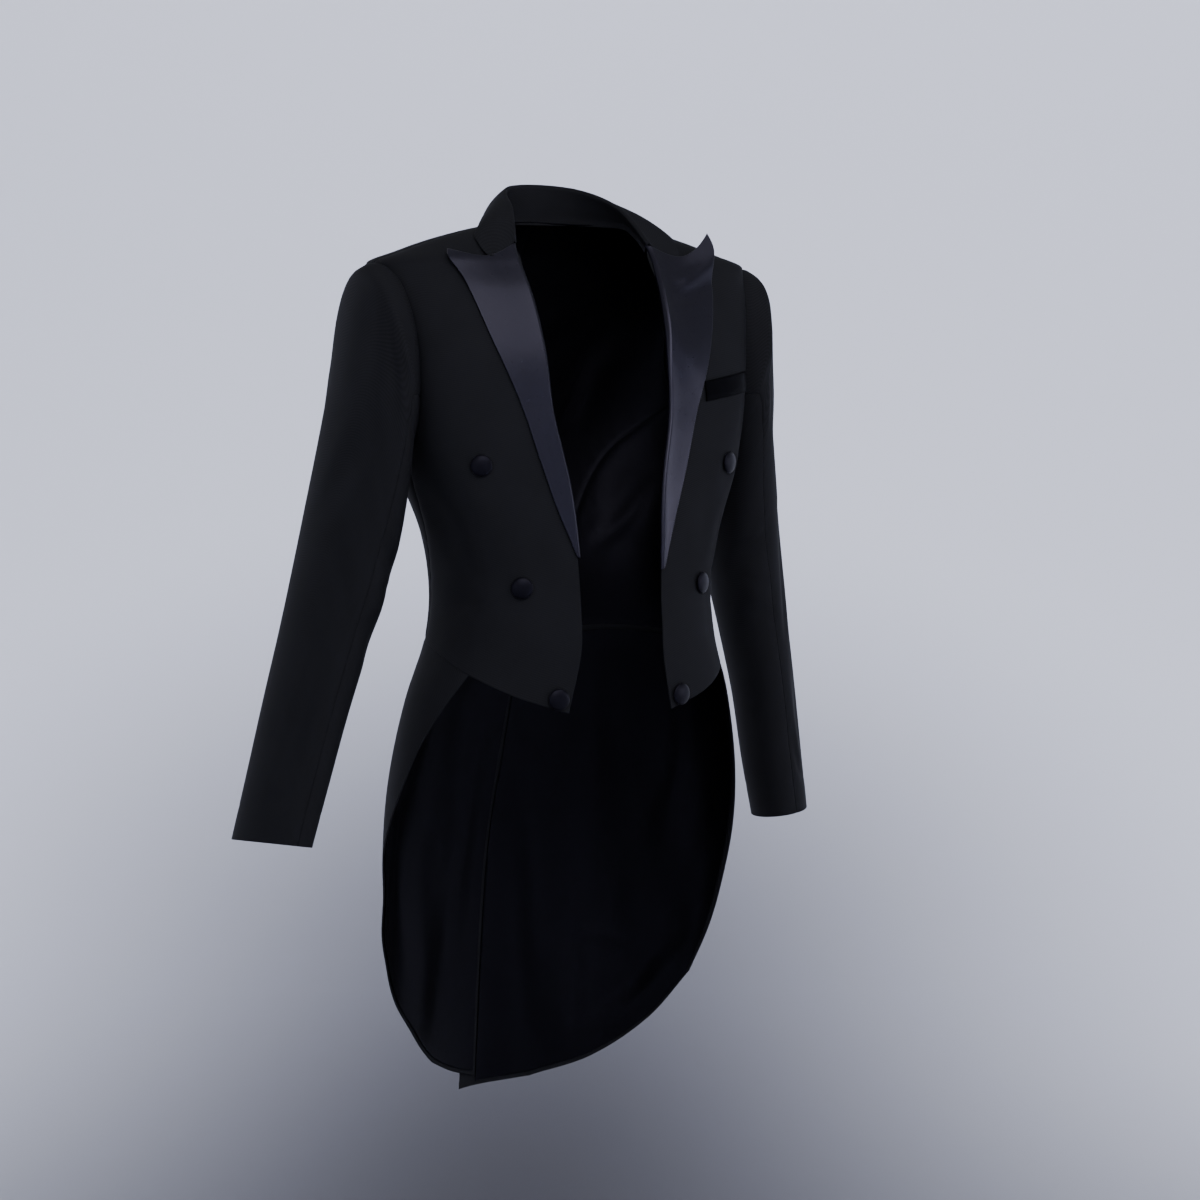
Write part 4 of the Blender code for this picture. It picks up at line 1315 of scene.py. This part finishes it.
@dataclass(frozen=True)
class TailLining:
    """The satin inside a tail, felled to the turned-in cloth a little way from its edges."""

    size: tuple[float, float] = (0.40, 0.46)
    step: float = 0.006
    cut: FlatCut = FlatCut(0.42, 0.52, 0.110)
    # How far it stays from the tail's sides, and from its top and foot.
    side_inset: float = 0.007
    end_inset: float = 0.0049
    sink: float = BODY_CLOTH + 0.0007
    last_turn: float = 179.2
    # The parts of its width on the skirt and on the back.
    parts: tuple[int, int] = (13, 9)
    # It hangs a little slack, in waves that fade towards the edge.
    slack: float = 0.0005
    wave_rate: float = 95.0
    wave_drift: float = 2.1
    wave_drift_rate: float = 17.0
    wave_fade: float = 0.03

    def inset_lines(self, length: float, inset: float) -> np.ndarray:
        """Shares of a length that start and end an inset from its ends."""
        return lines(length, self.step) * (1 - 2 * inset / length) + inset / length

    def build(self, side: Side, wardrobe: Wardrobe) -> None:
        """Builds and dresses one tail's lining."""
        part = self.inset_lines(self.size[0], self.side_inset) * sum(self.parts)
        down = self.inset_lines(self.size[1], self.end_inset)
        on_skirt = part <= self.parts[0]
        skirt = skirt_places(side, part[on_skirt] / self.parts[0], down)
        rows = (BACK_PARTS[0] + BACK_PARTS[1] + BACK_PARTS[2] * down) / sum(BACK_PARTS)
        back = back_places(side, 1 - (part[~on_skirt] - self.parts[0]) / self.parts[1], rows)
        places = np.concatenate([skirt, back], axis=1)
        places[..., 0] = np.minimum(places[..., 0], self.last_turn)
        off = EdgeDistances.of(FIGURE.point(places))
        drift = self.wave_drift * np.sin(off.top * self.wave_drift_rate)
        wave = np.sin(off.left * self.wave_rate + drift) * np.clip(off.nearest() / self.wave_fade, 0, 1)
        piece = wall(
            f"tail_satin_{side.value}",
            FIGURE,
            side,
            places,
            LINING_CLOTH,
            Seams(),
            extra=-self.sink - self.slack * (1 + wave),
        )
        materials = [wardrobe.lining, wardrobe.lining]
        wardrobe.hang(piece, [f"tail_lining_{side.value}"], materials, self.cut)


@dataclass(frozen=True)
class Lapel:
    """The peaked satin lapel: it turns over the front edge, rolls and ends in a lifted peak."""

    size: tuple[float, float] = (0.085, 0.335)
    step: float = 0.0035
    thickness: float = 0.0010
    cut: FlatCut = FlatCut(0.12, 0.36, 0.0215)
    # The roll's foot, how much lower it is on the left, and how far from it the outer edge ends.
    foot: Place = Place(26.0, -0.351)
    left_drop: float = 0.014
    foot_width: Place = Place(0.9, 0.001)
    # The direction in from the front edge is measured over this share of the width.
    first_way: float = 0.05
    gap: float = LAY_GAP * 1.5
    # The grid starts at this share of the width, where the turn over the front edge ends.
    first_share: float = 0.02
    # The roll lifts the satin along the front edge: how far, over what share of the width, and how
    # much of it is lost by the foot.
    roll: float = 0.0024
    roll_run: float = 0.3
    roll_loss: float = 0.5
    # How far each peak lifts, over what share of the length, and the left one's curl over its share.
    right_tip: float = 0.005
    left_tip: float = 0.009
    tip_run: float = 0.22
    left_curl: tuple[float, float, float] = (-0.005, 0.0, 0.018)
    curl_run: float = 0.16
    # The left peak's weight folds the satin a little under the notch: how deep, where on the length at
    # the outer edge, how much lower at the roll, its half width, and where across it comes in. Below
    # the fold lies a trough: its share of the depth, and how many half widths away.
    left_fold: float = 0.0022
    fold_share: float = 0.055
    fold_fall: float = 0.05
    fold_half_width: float = 0.030
    fold_start: float = 0.15
    fold_run: float = 0.4
    trough_share: float = 0.8
    trough_away: float = 1.9
    # Lower down it breaks softly outwards, along a line that falls towards the outer edge.
    left_break: float = 0.0024
    break_share: float = 0.25
    break_fall: float = 0.17
    break_half_width: float = 0.09
    # The turn over the front edge: metres in from the edge, and lift, from inside to outside.
    nose: tuple[tuple[float, float], ...] = (
        (0.0130, -0.0024),
        (0.0060, -0.0027),
        (0.0010, -0.0029),
        (-0.0014, -0.0024),
        (-0.0028, -0.0010),
        (-0.0031, 0.0008),
        (-0.0024, 0.0022),
        (-0.0008, 0.0031),
    )

    def places(self, side: Side, u: np.ndarray, v: np.ndarray) -> np.ndarray:
        """The grid on the figure: first the turn over the front edge, then the lapel itself."""
        drop = self.left_drop if side is Side.LEFT else 0.0
        foot = Place(self.foot.turn, self.foot.height - drop)
        point = Place(foot.turn + self.foot_width.turn, foot.height + self.foot_width.height)
        roll = SeamPath(FRONT_EDGE[1:6] + (foot,))
        edges = SeamPath(LAPEL_TOP), SeamPath((foot, point)), roll, SeamPath(LAPEL_EDGE[:-1] + (point,))
        start = roll.at(v)[:, None]
        way = patch(*edges, np.array([self.first_way]), v) - start
        reach = np.linalg.norm(FIGURE.point(start + way) - FIGURE.point(start), axis=-1)[..., None]
        inwards = np.array(self.nose)[None, :, 0:1]
        turned = start + way * (inwards / np.maximum(reach, 1e-5))
        return np.concatenate([turned, patch(*edges, u, v)], axis=1)

    def lift(self, side: Side, uu: np.ndarray, vv: np.ndarray) -> np.ndarray:
        """How far the lapel stands off the front at shares of its width and length."""
        tip = self.left_tip if side is Side.LEFT else self.right_tip
        roll = self.roll * np.exp(-uu / self.roll_run) * (1 - self.roll_loss * vv)
        lift = LAPEL_CLOTH + self.gap + roll
        lift = lift + tip * uu**2 * np.maximum(1 - vv / self.tip_run, 0.0) ** 2
        if side is Side.LEFT:
            below = (vv - self.fold_share - self.fold_fall * (1 - uu)) / self.fold_half_width
            fold = np.exp(-(below**2)) - self.trough_share * np.exp(-((below - self.trough_away) ** 2))
            lift += self.left_fold * fold * ease((uu - self.fold_start) / self.fold_run)
            below = (vv - self.break_share - self.break_fall * uu) / self.break_half_width
            lift += self.left_break * np.exp(-(below**2))
        return lift

    def build(self, side: Side, wardrobe: Wardrobe) -> None:
        """Builds and dresses one lapel."""
        u, v = lines(self.size[0], self.step), lines(self.size[1], self.step)
        u = u[u > self.first_share]
        uu, vv = u[None], v[:, None]
        places = self.places(side, u, v)
        turned = np.repeat(np.array(self.nose)[None, :, 1], len(v), axis=0)
        lift = np.concatenate([turned, self.lift(side, uu, vv)], axis=1)
        normal = FIGURE.normal(places)
        outer = FIGURE.point(places) + normal * (FIGURE.lift(side, places) + lift)[..., None]
        if side is Side.LEFT:
            weight = uu**3 * np.maximum(1 - vv / self.curl_run, 0.0) ** 2
            outer[:, len(self.nose) :] += weight[..., None] * self.left_curl
        piece = free_shell(f"satin_lapel_{side.value}", outer, self.thickness, side.mirrored, normal)
        nodes = [f"lapel_{side.value}"]
        wardrobe.hang(piece, nodes, [wardrobe.lapel], self.cut, Held.FOLDED)


@dataclass(frozen=True)
class Sleeve:
    """The two-piece sleeve: a top and an under sleeve with a seam in front and behind."""

    step: float = 0.0045
    # Sections along and degrees around.
    hind_seam: tuple[tuple[float, float], ...] = (
        (0.0, -130.0),
        (1.5, -115.0),
        (4.0, -105.0),
        (10.0, -105.0),
    )
    front_seam: tuple[tuple[float, float], ...] = ((0.0, 118.0), (2.0, 104.0), (5.0, 90.0), (10.0, 78.0))
    top_width: float = 0.22
    under_width: float = 0.15
    # The sleeve's length is measured through this many points.
    measure_points: int = 400
    # The sleeve's head is eased into the armhole and stands a little proud beside the seam: how much,
    # how far from the seam and over what half width. At the seam itself it rises to meet the body.
    head_rope: float = 0.0016
    rope_away: float = 0.007
    rope_half_width: float = 0.006
    seam_rise_run: float = 0.002
    # The turned hem's upper line shows as a faint ditch.
    hem_ditch: float = 0.0004
    hem_height: float = 0.034
    hem_half_width: float = 0.0022
    top_cut: FlatCut = FlatCut(0.25, 0.66, 0.101)
    under_cut: FlatCut = FlatCut(0.19, 0.50, 0.0665)

    def along(self) -> np.ndarray:
        """Sections along the sleeve at even steps of its length."""
        dense = np.linspace(0, len(SECTIONS) - 1, self.measure_points)
        line = SLEEVE.point(np.stack([np.zeros(len(dense)), dense], axis=-1))
        length = np.concatenate([[0.0], np.cumsum(np.linalg.norm(np.diff(line, axis=0), axis=1))])
        return np.interp(lines(length[-1], self.step) * length[-1], length, dense)

    def build(self, side: Side, wardrobe: Wardrobe) -> None:
        """Builds and dresses both pieces of one sleeve."""
        along = self.along()
        front = Track(*zip(*self.front_seam)).at(along)[:, 0]
        hind = Track(*zip(*self.hind_seam)).at(along)[:, 0]
        for name, node, start, end, width, cut in (
            ("sleeve_top", "top_sleeve", hind, front, self.top_width, self.top_cut),
            ("sleeve_under", "under_sleeve", front, hind + 360, self.under_width, self.under_cut),
        ):
            share = lines(width, self.step)[None]
            around = start[:, None] * (1 - share) + end[:, None] * share
            places = np.stack([around, np.repeat(along[:, None], share.shape[1], axis=1)], axis=-1)
            piece = wall(
                f"{name}_{side.value}",
                SLEEVE,
                side,
                places,
                SLEEVE_CLOTH,
                Seams(left=1.0, right=1.0),
                extra=self.finish_lift(places),
            )
            wardrobe.hang_suiting(piece, f"{node}_{side.value}", cut)

    def finish_lift(self, places: np.ndarray) -> np.ndarray:
        """The lift of the eased head and of the hem's line."""
        off = EdgeDistances.of(SLEEVE.point(places))
        upper = np.clip(np.cos(np.radians(places[..., 0])), 0, 1)
        rope = np.exp(-(((off.top - self.rope_away) / self.rope_half_width) ** 2))
        rise = np.exp(-((off.top / self.seam_rise_run) ** 2))
        hem = np.exp(-(((off.bottom - self.hem_height) / self.hem_half_width) ** 2))
        return self.head_rope * upper * rope + SLEEVE_CLOTH / 2 * rise - self.hem_ditch * hem


@dataclass(frozen=True)
class Collar:
    """The collar: one cloth that rises from the neck seam as a stand and falls over it as a leaf."""

    length: float = 0.46
    columns: int = 170
    rows: int = 44
    # The leaf swells between its fold and its edge, coming in over the first stations, and on the left
    # its edge stands up a little round the third one.
    bulge: float = 0.0030
    bulge_run: float = 1.5
    left_lift: float = 0.0030
    # The leaf's front corner is cut round, over a share of the first station.
    corner: float = 0.0060
    corner_run: float = 0.55
    # Where the cloth's points lie on the leaf, as shares from the fold to the edge, and on the stand,
    # as shares from its top to the neck seam.
    leaf_shares: tuple[float, ...] = (1.0, 0.86, 0.68, 0.5, 0.32, 0.16, 0.05)
    stand_shares: tuple[float, ...] = (0.0, 0.3, 0.65, 1.0)
    # The fold's top, the stand's top and its foot: how far in from the fold or the seam, and up.
    fold_top: tuple[float, float] = (0.0018, 0.0012)
    stand_top: tuple[float, float] = (0.0038, -0.0014)
    stand_foot: float = 0.0022
    tuck_in: float = 0.0030
    # The neck's middle, behind the origin.
    neck_middle: tuple[float, float, float] = (0.0, 0.02, 0.0)
    # The stand runs on this far under the neck seam.
    tuck: float = 0.0060
    cut: FlatCut = FlatCut(0.08, 0.50, 0.0260)

    def track(self, line: CollarLine) -> Track:
        """A smooth curve along the whole collar, from the left gorge round to the right one."""
        left = [np.array(getattr(station, line.value)) for station in COLLAR]
        right = [point * (-1, 1, 1) for point in reversed(left[:-1])]
        if line is CollarLine.EDGE:
            left = [
                point + (0, 0, self.left_lift * float(bump(np.array((i - 2) / 2))))
                for i, point in enumerate(left)
            ]
        points = left + right
        return Track(range(len(points)), points)

    def section(self, at: np.ndarray) -> list[np.ndarray]:
        """Points through the cloth's section at each station, from the leaf's edge to the neck seam."""
        seam, fold, edge = (self.track(line).at(at) for line in CollarLine)
        sags = [station.sag for station in COLLAR]
        sag = Track(range(len(sags) * 2 - 1), sags + sags[-2::-1]).at(at)
        last = 2 * (len(COLLAR) - 1)
        out = unit((edge - fold) * [1, 1, 0])
        up = np.array([0.0, 0.0, 1.0])
        from_end = np.minimum(at, last - at)
        short = 1 - np.clip(from_end / self.corner_run, 0, 1)
        corner = self.corner * (1 - np.sqrt(np.maximum(1 - short**2, 0)))
        edge = edge - unit(edge - fold) * corner[:, None]
        bulge = (self.bulge * ease(from_end / self.bulge_run))[:, None]
        points = []
        for share in self.leaf_shares:
            raised = ((out + up) * bulge - up * sag) * belly(np.array(share))
            points.append(fold + (edge - fold) * share + raised)
        points.append(fold - out * self.fold_top[0] + up * self.fold_top[1])
        top = fold - out * self.stand_top[0] + up * self.stand_top[1]
        for share in self.stand_shares:
            points.append(top + (seam - out * self.stand_foot - top) * share)
        points.append(seam - out * self.tuck_in - up * self.tuck)
        return points

    def build(self, wardrobe: Wardrobe) -> None:
        """Builds and dresses the collar."""
        at = lines(self.length, self.length / self.columns) * 2 * (len(COLLAR) - 1)
        points = np.array(self.section(at))
        steps = np.linalg.norm(np.diff(points, axis=0), axis=-1).mean(axis=1)
        length = np.concatenate([[0.0], np.cumsum(steps)])
        share = lines(length[-1], length[-1] / self.rows) * length[-1]
        outer = Track(length, points.reshape(len(points), -1)).at(share).reshape(len(share), len(at), 3)
        # The leaf's own points, up to the one before the fold, show which way is out: away from the neck.
        leaf = (share < length[len(self.leaf_shares) - 1])[:, None, None]
        out = unit(outer * [1, 1, 0] - self.neck_middle) * leaf
        piece = free_shell("collar_cloth", outer, COLLAR_CLOTH, False, out)
        nodes = ["collar_leaf", "collar_stand"]
        wardrobe.hang(piece, nodes, [wardrobe.suiting], self.cut, Held.FOLDED)


@dataclass(frozen=True)
class BreastWelt:
    """The breast pocket's satin welt on the left front."""

    inner: Place = Place(53.0, -0.168)
    outer: Place = Place(70.0, -0.157)
    # The lower inside corner lies this many degrees nearer the front edge.
    slant: float = 0.5
    width: float = 0.056
    height: float = 0.021
    across_step: float = 0.003
    down_step: float = 0.002
    # It stands this much further out at its foot than at its top.
    foot_lift: float = 0.0012
    cut: FlatCut = FlatCut(0.066, 0.022, 0.00145)

    def build(self, wardrobe: Wardrobe) -> None:
        """Builds and dresses the welt."""
        low_in = Place(self.inner.turn - self.slant, self.inner.height - self.height)
        low_out = Place(self.outer.turn, self.outer.height - self.height)
        down = lines(self.height, self.down_step)
        places = patch(
            SeamPath((self.inner, self.outer)),
            SeamPath((low_in, low_out)),
            SeamPath((self.inner, low_in)),
            SeamPath((self.outer, low_out)),
            lines(self.width, self.across_step),
            down,
        )
        piece = wall(
            "welt_satin",
            FIGURE,
            Side.LEFT,
            places,
            WELT_CLOTH,
            Seams(left=0.5, right=0.5, bottom=1.0),
            extra=WELT_CLOTH + LAY_GAP * 2 + self.foot_lift * down[:, None],
        )
        # The welt's near-black satin is painted shade.
        materials = [wardrobe.welt, wardrobe.suiting]
        wardrobe.hang(piece, ["breast_welt"], materials, self.cut, Held.STRETCHED)


class ButtonSpot(NamedTuple):
    """A button's name and place."""

    name: str
    turn: float
    height: float


@dataclass(frozen=True)
class CoveredButton:
    """A domed button covered in satin, gathered a little round its rim."""

    radius: float = 0.0115
    height: float = 0.0056
    around: int = 48
    dome_points: int = 12
    # The dome starts at this share of the height; below it the rim turns in to the flat back, through
    # these shares of the radius and the height.
    dome_start: float = 0.42
    rim: tuple[tuple[float, float], ...] = ((0.99, 0.25), (0.93, 0.08), (0.84, 0.0))
    # The satin is gathered in waves that start at this share of the radius.
    gathers: int = 16
    gather_depth: float = 0.012
    gather_start: float = 0.75
    spots: tuple[ButtonSpot, ...] = (
        ButtonSpot("top", 61.0, -0.2547),
        ButtonSpot("middle", 50.5, -0.382),
        ButtonSpot("low", 35.5, -0.4985),
    )

    def outline(self) -> list[tuple[float, float]]:
        """Radius and height from the dome's top round the rim to the back."""
        dome = [
            (math.cos(angle), self.dome_start + (1 - self.dome_start) * math.sin(angle))
            for angle in np.radians(np.linspace(90, 0, self.dome_points))
        ]
        return [(self.radius * out, self.height * up) for out, up in dome + list(self.rim)]

    def mesh(self) -> bpy.types.Mesh:
        """The button's mesh, its back in the XY plane and its dome up +Z."""
        outline = self.outline()
        angles = np.linspace(0, 2 * math.pi, self.around, endpoint=False)
        points = [(0.0, 0.0, outline[0][1])]
        for radius, height in outline[1:]:
            near_rim = (radius / self.radius - self.gather_start) / (1 - self.gather_start)
            gathered = 1 + self.gather_depth * np.sin(angles * self.gathers) * ease(np.array(near_rim))
            points += [
                (radius * g * math.cos(a), radius * g * math.sin(a), height) for a, g in zip(angles, gathered)
            ]
        points.append((0.0, 0.0, 0.0))
        faces, n = [], self.around
        last = 1 + (len(outline) - 2) * n
        for k in range(n):
            m = (k + 1) % n
            faces.append((0, 1 + k, 1 + m))
            for a in range(1, last, n):
                faces.append((a + k, a + n + k, a + n + m, a + m))
            faces.append((last + k, len(points) - 1, last + m))
        mesh = smooth_mesh("covered_button", points, faces)
        layer = mesh.uv_layers.new(name="cloth")
        for loop in mesh.loops:
            layer.data[loop.index].uv = mesh.vertices[loop.vertex_index].co.xy
        return mesh

    def build(self, side: Side, wardrobe: Wardrobe) -> None:
        """Builds and dresses one front's three buttons."""
        for spot in self.spots:
            place = np.array([spot.turn, spot.height])
            normal = FIGURE.normal(place)
            point = FIGURE.point(place) + normal * (float(FIGURE.lift(side, place)) + LAY_GAP)
            flip = np.array([-1.0 if side.mirrored else 1.0, 1.0, 1.0])
            mesh = self.mesh()
            turned = Vector(normal * flip).to_track_quat("Z", "Y").to_matrix().to_4x4()
            mesh.transform(Matrix.Translation(Vector(point * flip)) @ turned)
            piece = add_object(f"satin_button_{side.value}_{spot.name}", mesh)
            node = f"button_{side.value}_{spot.name}"
            wardrobe.hang(piece, [node], [wardrobe.button], None)


class Lamp(NamedTuple):
    """A soft lamp: its place, what it points at, its width and height, power in watts and tint."""

    name: str
    place: tuple[float, float, float]
    aim: tuple[float, float, float]
    size: tuple[float, float]
    power: float
    tint: str = "f6f6ff"


@dataclass(frozen=True)
class Studio:
    """The plain pale studio: a round sweep, soft lamps and the camera."""

    floor: float = -1.55
    # The paper runs out to this radius and there curves up to the wall's height.
    sweep: float = 7.0
    curve: float = 2.0
    wall: float = 3.6
    around: int = 96
    yaw: float = -0.5585
    pitch: float = 0.0534
    distance: float = 4.5
    lens: float = 126.17
    aim_right: float = 0.0353
    aim_height: float = -0.4017
    paper: str = "dcdfea"
    # A painted shade darkens the paper behind the coat's foot: the shade's middle, to the camera's right,
    # behind and above the floor, and its reach each way.
    shade: str = "35353d"
    shade_middle: tuple[float, float, float] = (-0.1, 2.5, 0.0)
    shade_reach: tuple[float, float, float] = (2.1, 13.0, 1.2)
    air_tint: str = "dfe3ee"
    air: float = 0.30
    lamps: tuple[Lamp, ...] = (
        Lamp("front_softbox", (0.8, -2.85, 2.0), (0.0, 0.0, -0.15), (1.8, 2.3), 17.0),
        Lamp("chest_softbox", (-1.3, -3.6, 1.9), (-0.05, 0.0, -0.25), (2.2, 2.2), 44.0),
        Lamp("side_softbox", (2.55, -2.3, -0.25), (0.0, 0.0, -0.25), (1.3, 0.9), 10.0),
        Lamp("fill_softbox", (-3.4, -2.4, 0.4), (0.0, 0.0, -0.4), (2.0, 2.0), 5.0),
        Lamp("top_softbox", (0.2, 0.8, 3.0), (0.0, 0.0, -0.3), (2.4, 2.4), 8.0),
        Lamp("back_softbox", (-2.4, 3.2, 1.2), (0.0, 0.0, -0.4), (1.6, 2.4), 30.0),
        Lamp("paper_wash_middle", (1.6, 2.6, 2.4), (3.6, 5.8, -0.2), (2.4, 0.8), 150.0),
        Lamp("paper_wash_left", (-1.6, 2.8, 2.4), (-2.6, 6.4, -0.2), (2.4, 0.8), 120.0),
        Lamp("paper_wash_right", (3.0, 0.6, 2.4), (6.9, 1.6, -0.2), (2.4, 0.8), 120.0),
        Lamp("paper_wash_front", (-0.6, -2.9, 2.6), (-1.5, -6.9, -0.2), (2.4, 0.8), 60.0),
    )

    def add_sweep(self) -> None:
        """A floor that curves up into a wall all round, like seamless paper."""
        flat = self.sweep - self.curve
        outline = [(self.curve, 0.0), (flat, 0.0)]
        for angle in np.radians(range(10, 91, 10)):
            outline.append((flat + self.curve * math.sin(angle), self.curve - self.curve * math.cos(angle)))
        outline.append((self.sweep, self.wall))
        n = self.around
        points = [(0.0, 0.0, self.floor)]
        for radius, height in outline:
            for angle in (2 * math.pi * k / n for k in range(n)):
                points.append((radius * math.cos(angle), radius * math.sin(angle), self.floor + height))
        faces = [(0, 1 + k, 1 + (k + 1) % n) for k in range(n)]
        for row in range(len(outline) - 1):
            for k in range(n):
                a, b = 1 + row * n + k, 1 + row * n + (k + 1) % n
                faces.append((a, a + n, b + n, b))
        mesh = smooth_mesh("paper_sweep", points, faces)
        mesh.materials.append(self.paper_material())
        sweep = add_object("paper_sweep", mesh)

    def paper_material(self) -> bpy.types.Material:
        """Matt seamless paper, evenly pale except for a painted shade round the shade's middle."""
        material, tree, shader = new_material("studio_paper")
        right, behind, above = self.shade_middle
        place = (
            right * math.cos(self.yaw) - behind * math.sin(self.yaw),
            right * math.sin(self.yaw) + behind * math.cos(self.yaw),
            above + self.floor,
        )
        near = add_node(
            tree,
            "ShaderNodeMapping",
            {
                "Vector": add_node(tree, "ShaderNodeTexCoord").outputs["Object"],
                "Location": place,
                "Rotation": (0.0, 0.0, self.yaw),
                "Scale": self.shade_reach,
            },
            vector_type="TEXTURE",
        )
        painted_shade_fall = add_node(
            tree, "ShaderNodeTexGradient", {"Vector": near.outputs[0]}, gradient_type="SPHERICAL"
        )
        # The painted shade: the paper's colour is darkest at the shade's middle and fades to the paper's own
        # colour at its reach.
        colour = add_node(tree, "ShaderNodeValToRGB", {"Fac": painted_shade_fall.outputs["Fac"]})
        colour.color_ramp.interpolation = "EASE"
        colour.color_ramp.elements[0].color = linear(self.paper)
        colour.color_ramp.elements[1].color = linear(self.shade)
        feed(tree, shader, {"Base Color": colour.outputs["Color"], "Roughness": 0.9})
        return material

    def add_lamp(self, lamp: Lamp) -> None:
        """A soft rectangular lamp, itself out of sight.

        Args: lamp: its place, aim, size, power and tint.
        """
        light = bpy.data.lights.new(lamp.name, "AREA")
        light.shape, light.size, light.size_y = "RECTANGLE", lamp.size[0], lamp.size[1]
        light.energy = lamp.power
        light.color = linear(lamp.tint)[:3]
        holder = add_object(lamp.name, light)
        way = Vector(lamp.aim) - Vector(lamp.place)
        turned = way.to_track_quat("-Z", "Y").to_matrix().to_4x4()
        holder.matrix_world = Matrix.Translation(lamp.place) @ turned
        holder.visible_camera = False

    def add_camera(self) -> None:
        """The camera at the photograph's angle, distance and framing."""
        right = Vector((math.cos(self.yaw), math.sin(self.yaw), 0.0))
        forward = Vector(
            (
                -math.sin(self.yaw) * math.cos(self.pitch),
                math.cos(self.yaw) * math.cos(self.pitch),
                -math.sin(self.pitch),
            )
        )
        up = right.cross(forward)
        aim = right * self.aim_right + Vector((0.0, 0.0, self.aim_height))
        matrix = Matrix((right, up, -forward)).transposed().to_4x4()
        matrix.translation = aim - forward * self.distance
        camera = bpy.data.cameras.new("studio_camera")
        camera.sensor_width = 36.0
        camera.lens = self.lens
        camera.clip_end = 100.0
        holder = add_object("studio_camera", camera)
        holder.matrix_world = matrix
        bpy.context.scene.camera = holder

    def build(self) -> None:
        """Builds the studio."""
        self.add_sweep()
        for lamp in self.lamps:
            self.add_lamp(lamp)
        world = bpy.data.worlds.new("studio_air")
        bpy.context.scene.world = world
        world.use_nodes = True
        world.node_tree.nodes["Background"].inputs[0].default_value = linear(self.air_tint)
        world.node_tree.nodes["Background"].inputs[1].default_value = self.air
        self.add_camera()


def main() -> None:
    """Builds the coat piece by piece, then the studio."""
    logging.basicConfig(level=logging.INFO, format="%(name)s %(message)s")
    wardrobe = Wardrobe()
    for side in Side:
        for part in (Forepart(), SideBody(), BackPanel(), Skirt(), TailLining(), Sleeve(), Lapel()):
            part.build(side, wardrobe)
        CoveredButton().build(side, wardrobe)
    Collar().build(wardrobe)
    BreastWelt().build(wardrobe)
    Studio().build()


if __name__ == "__main__":
    main()
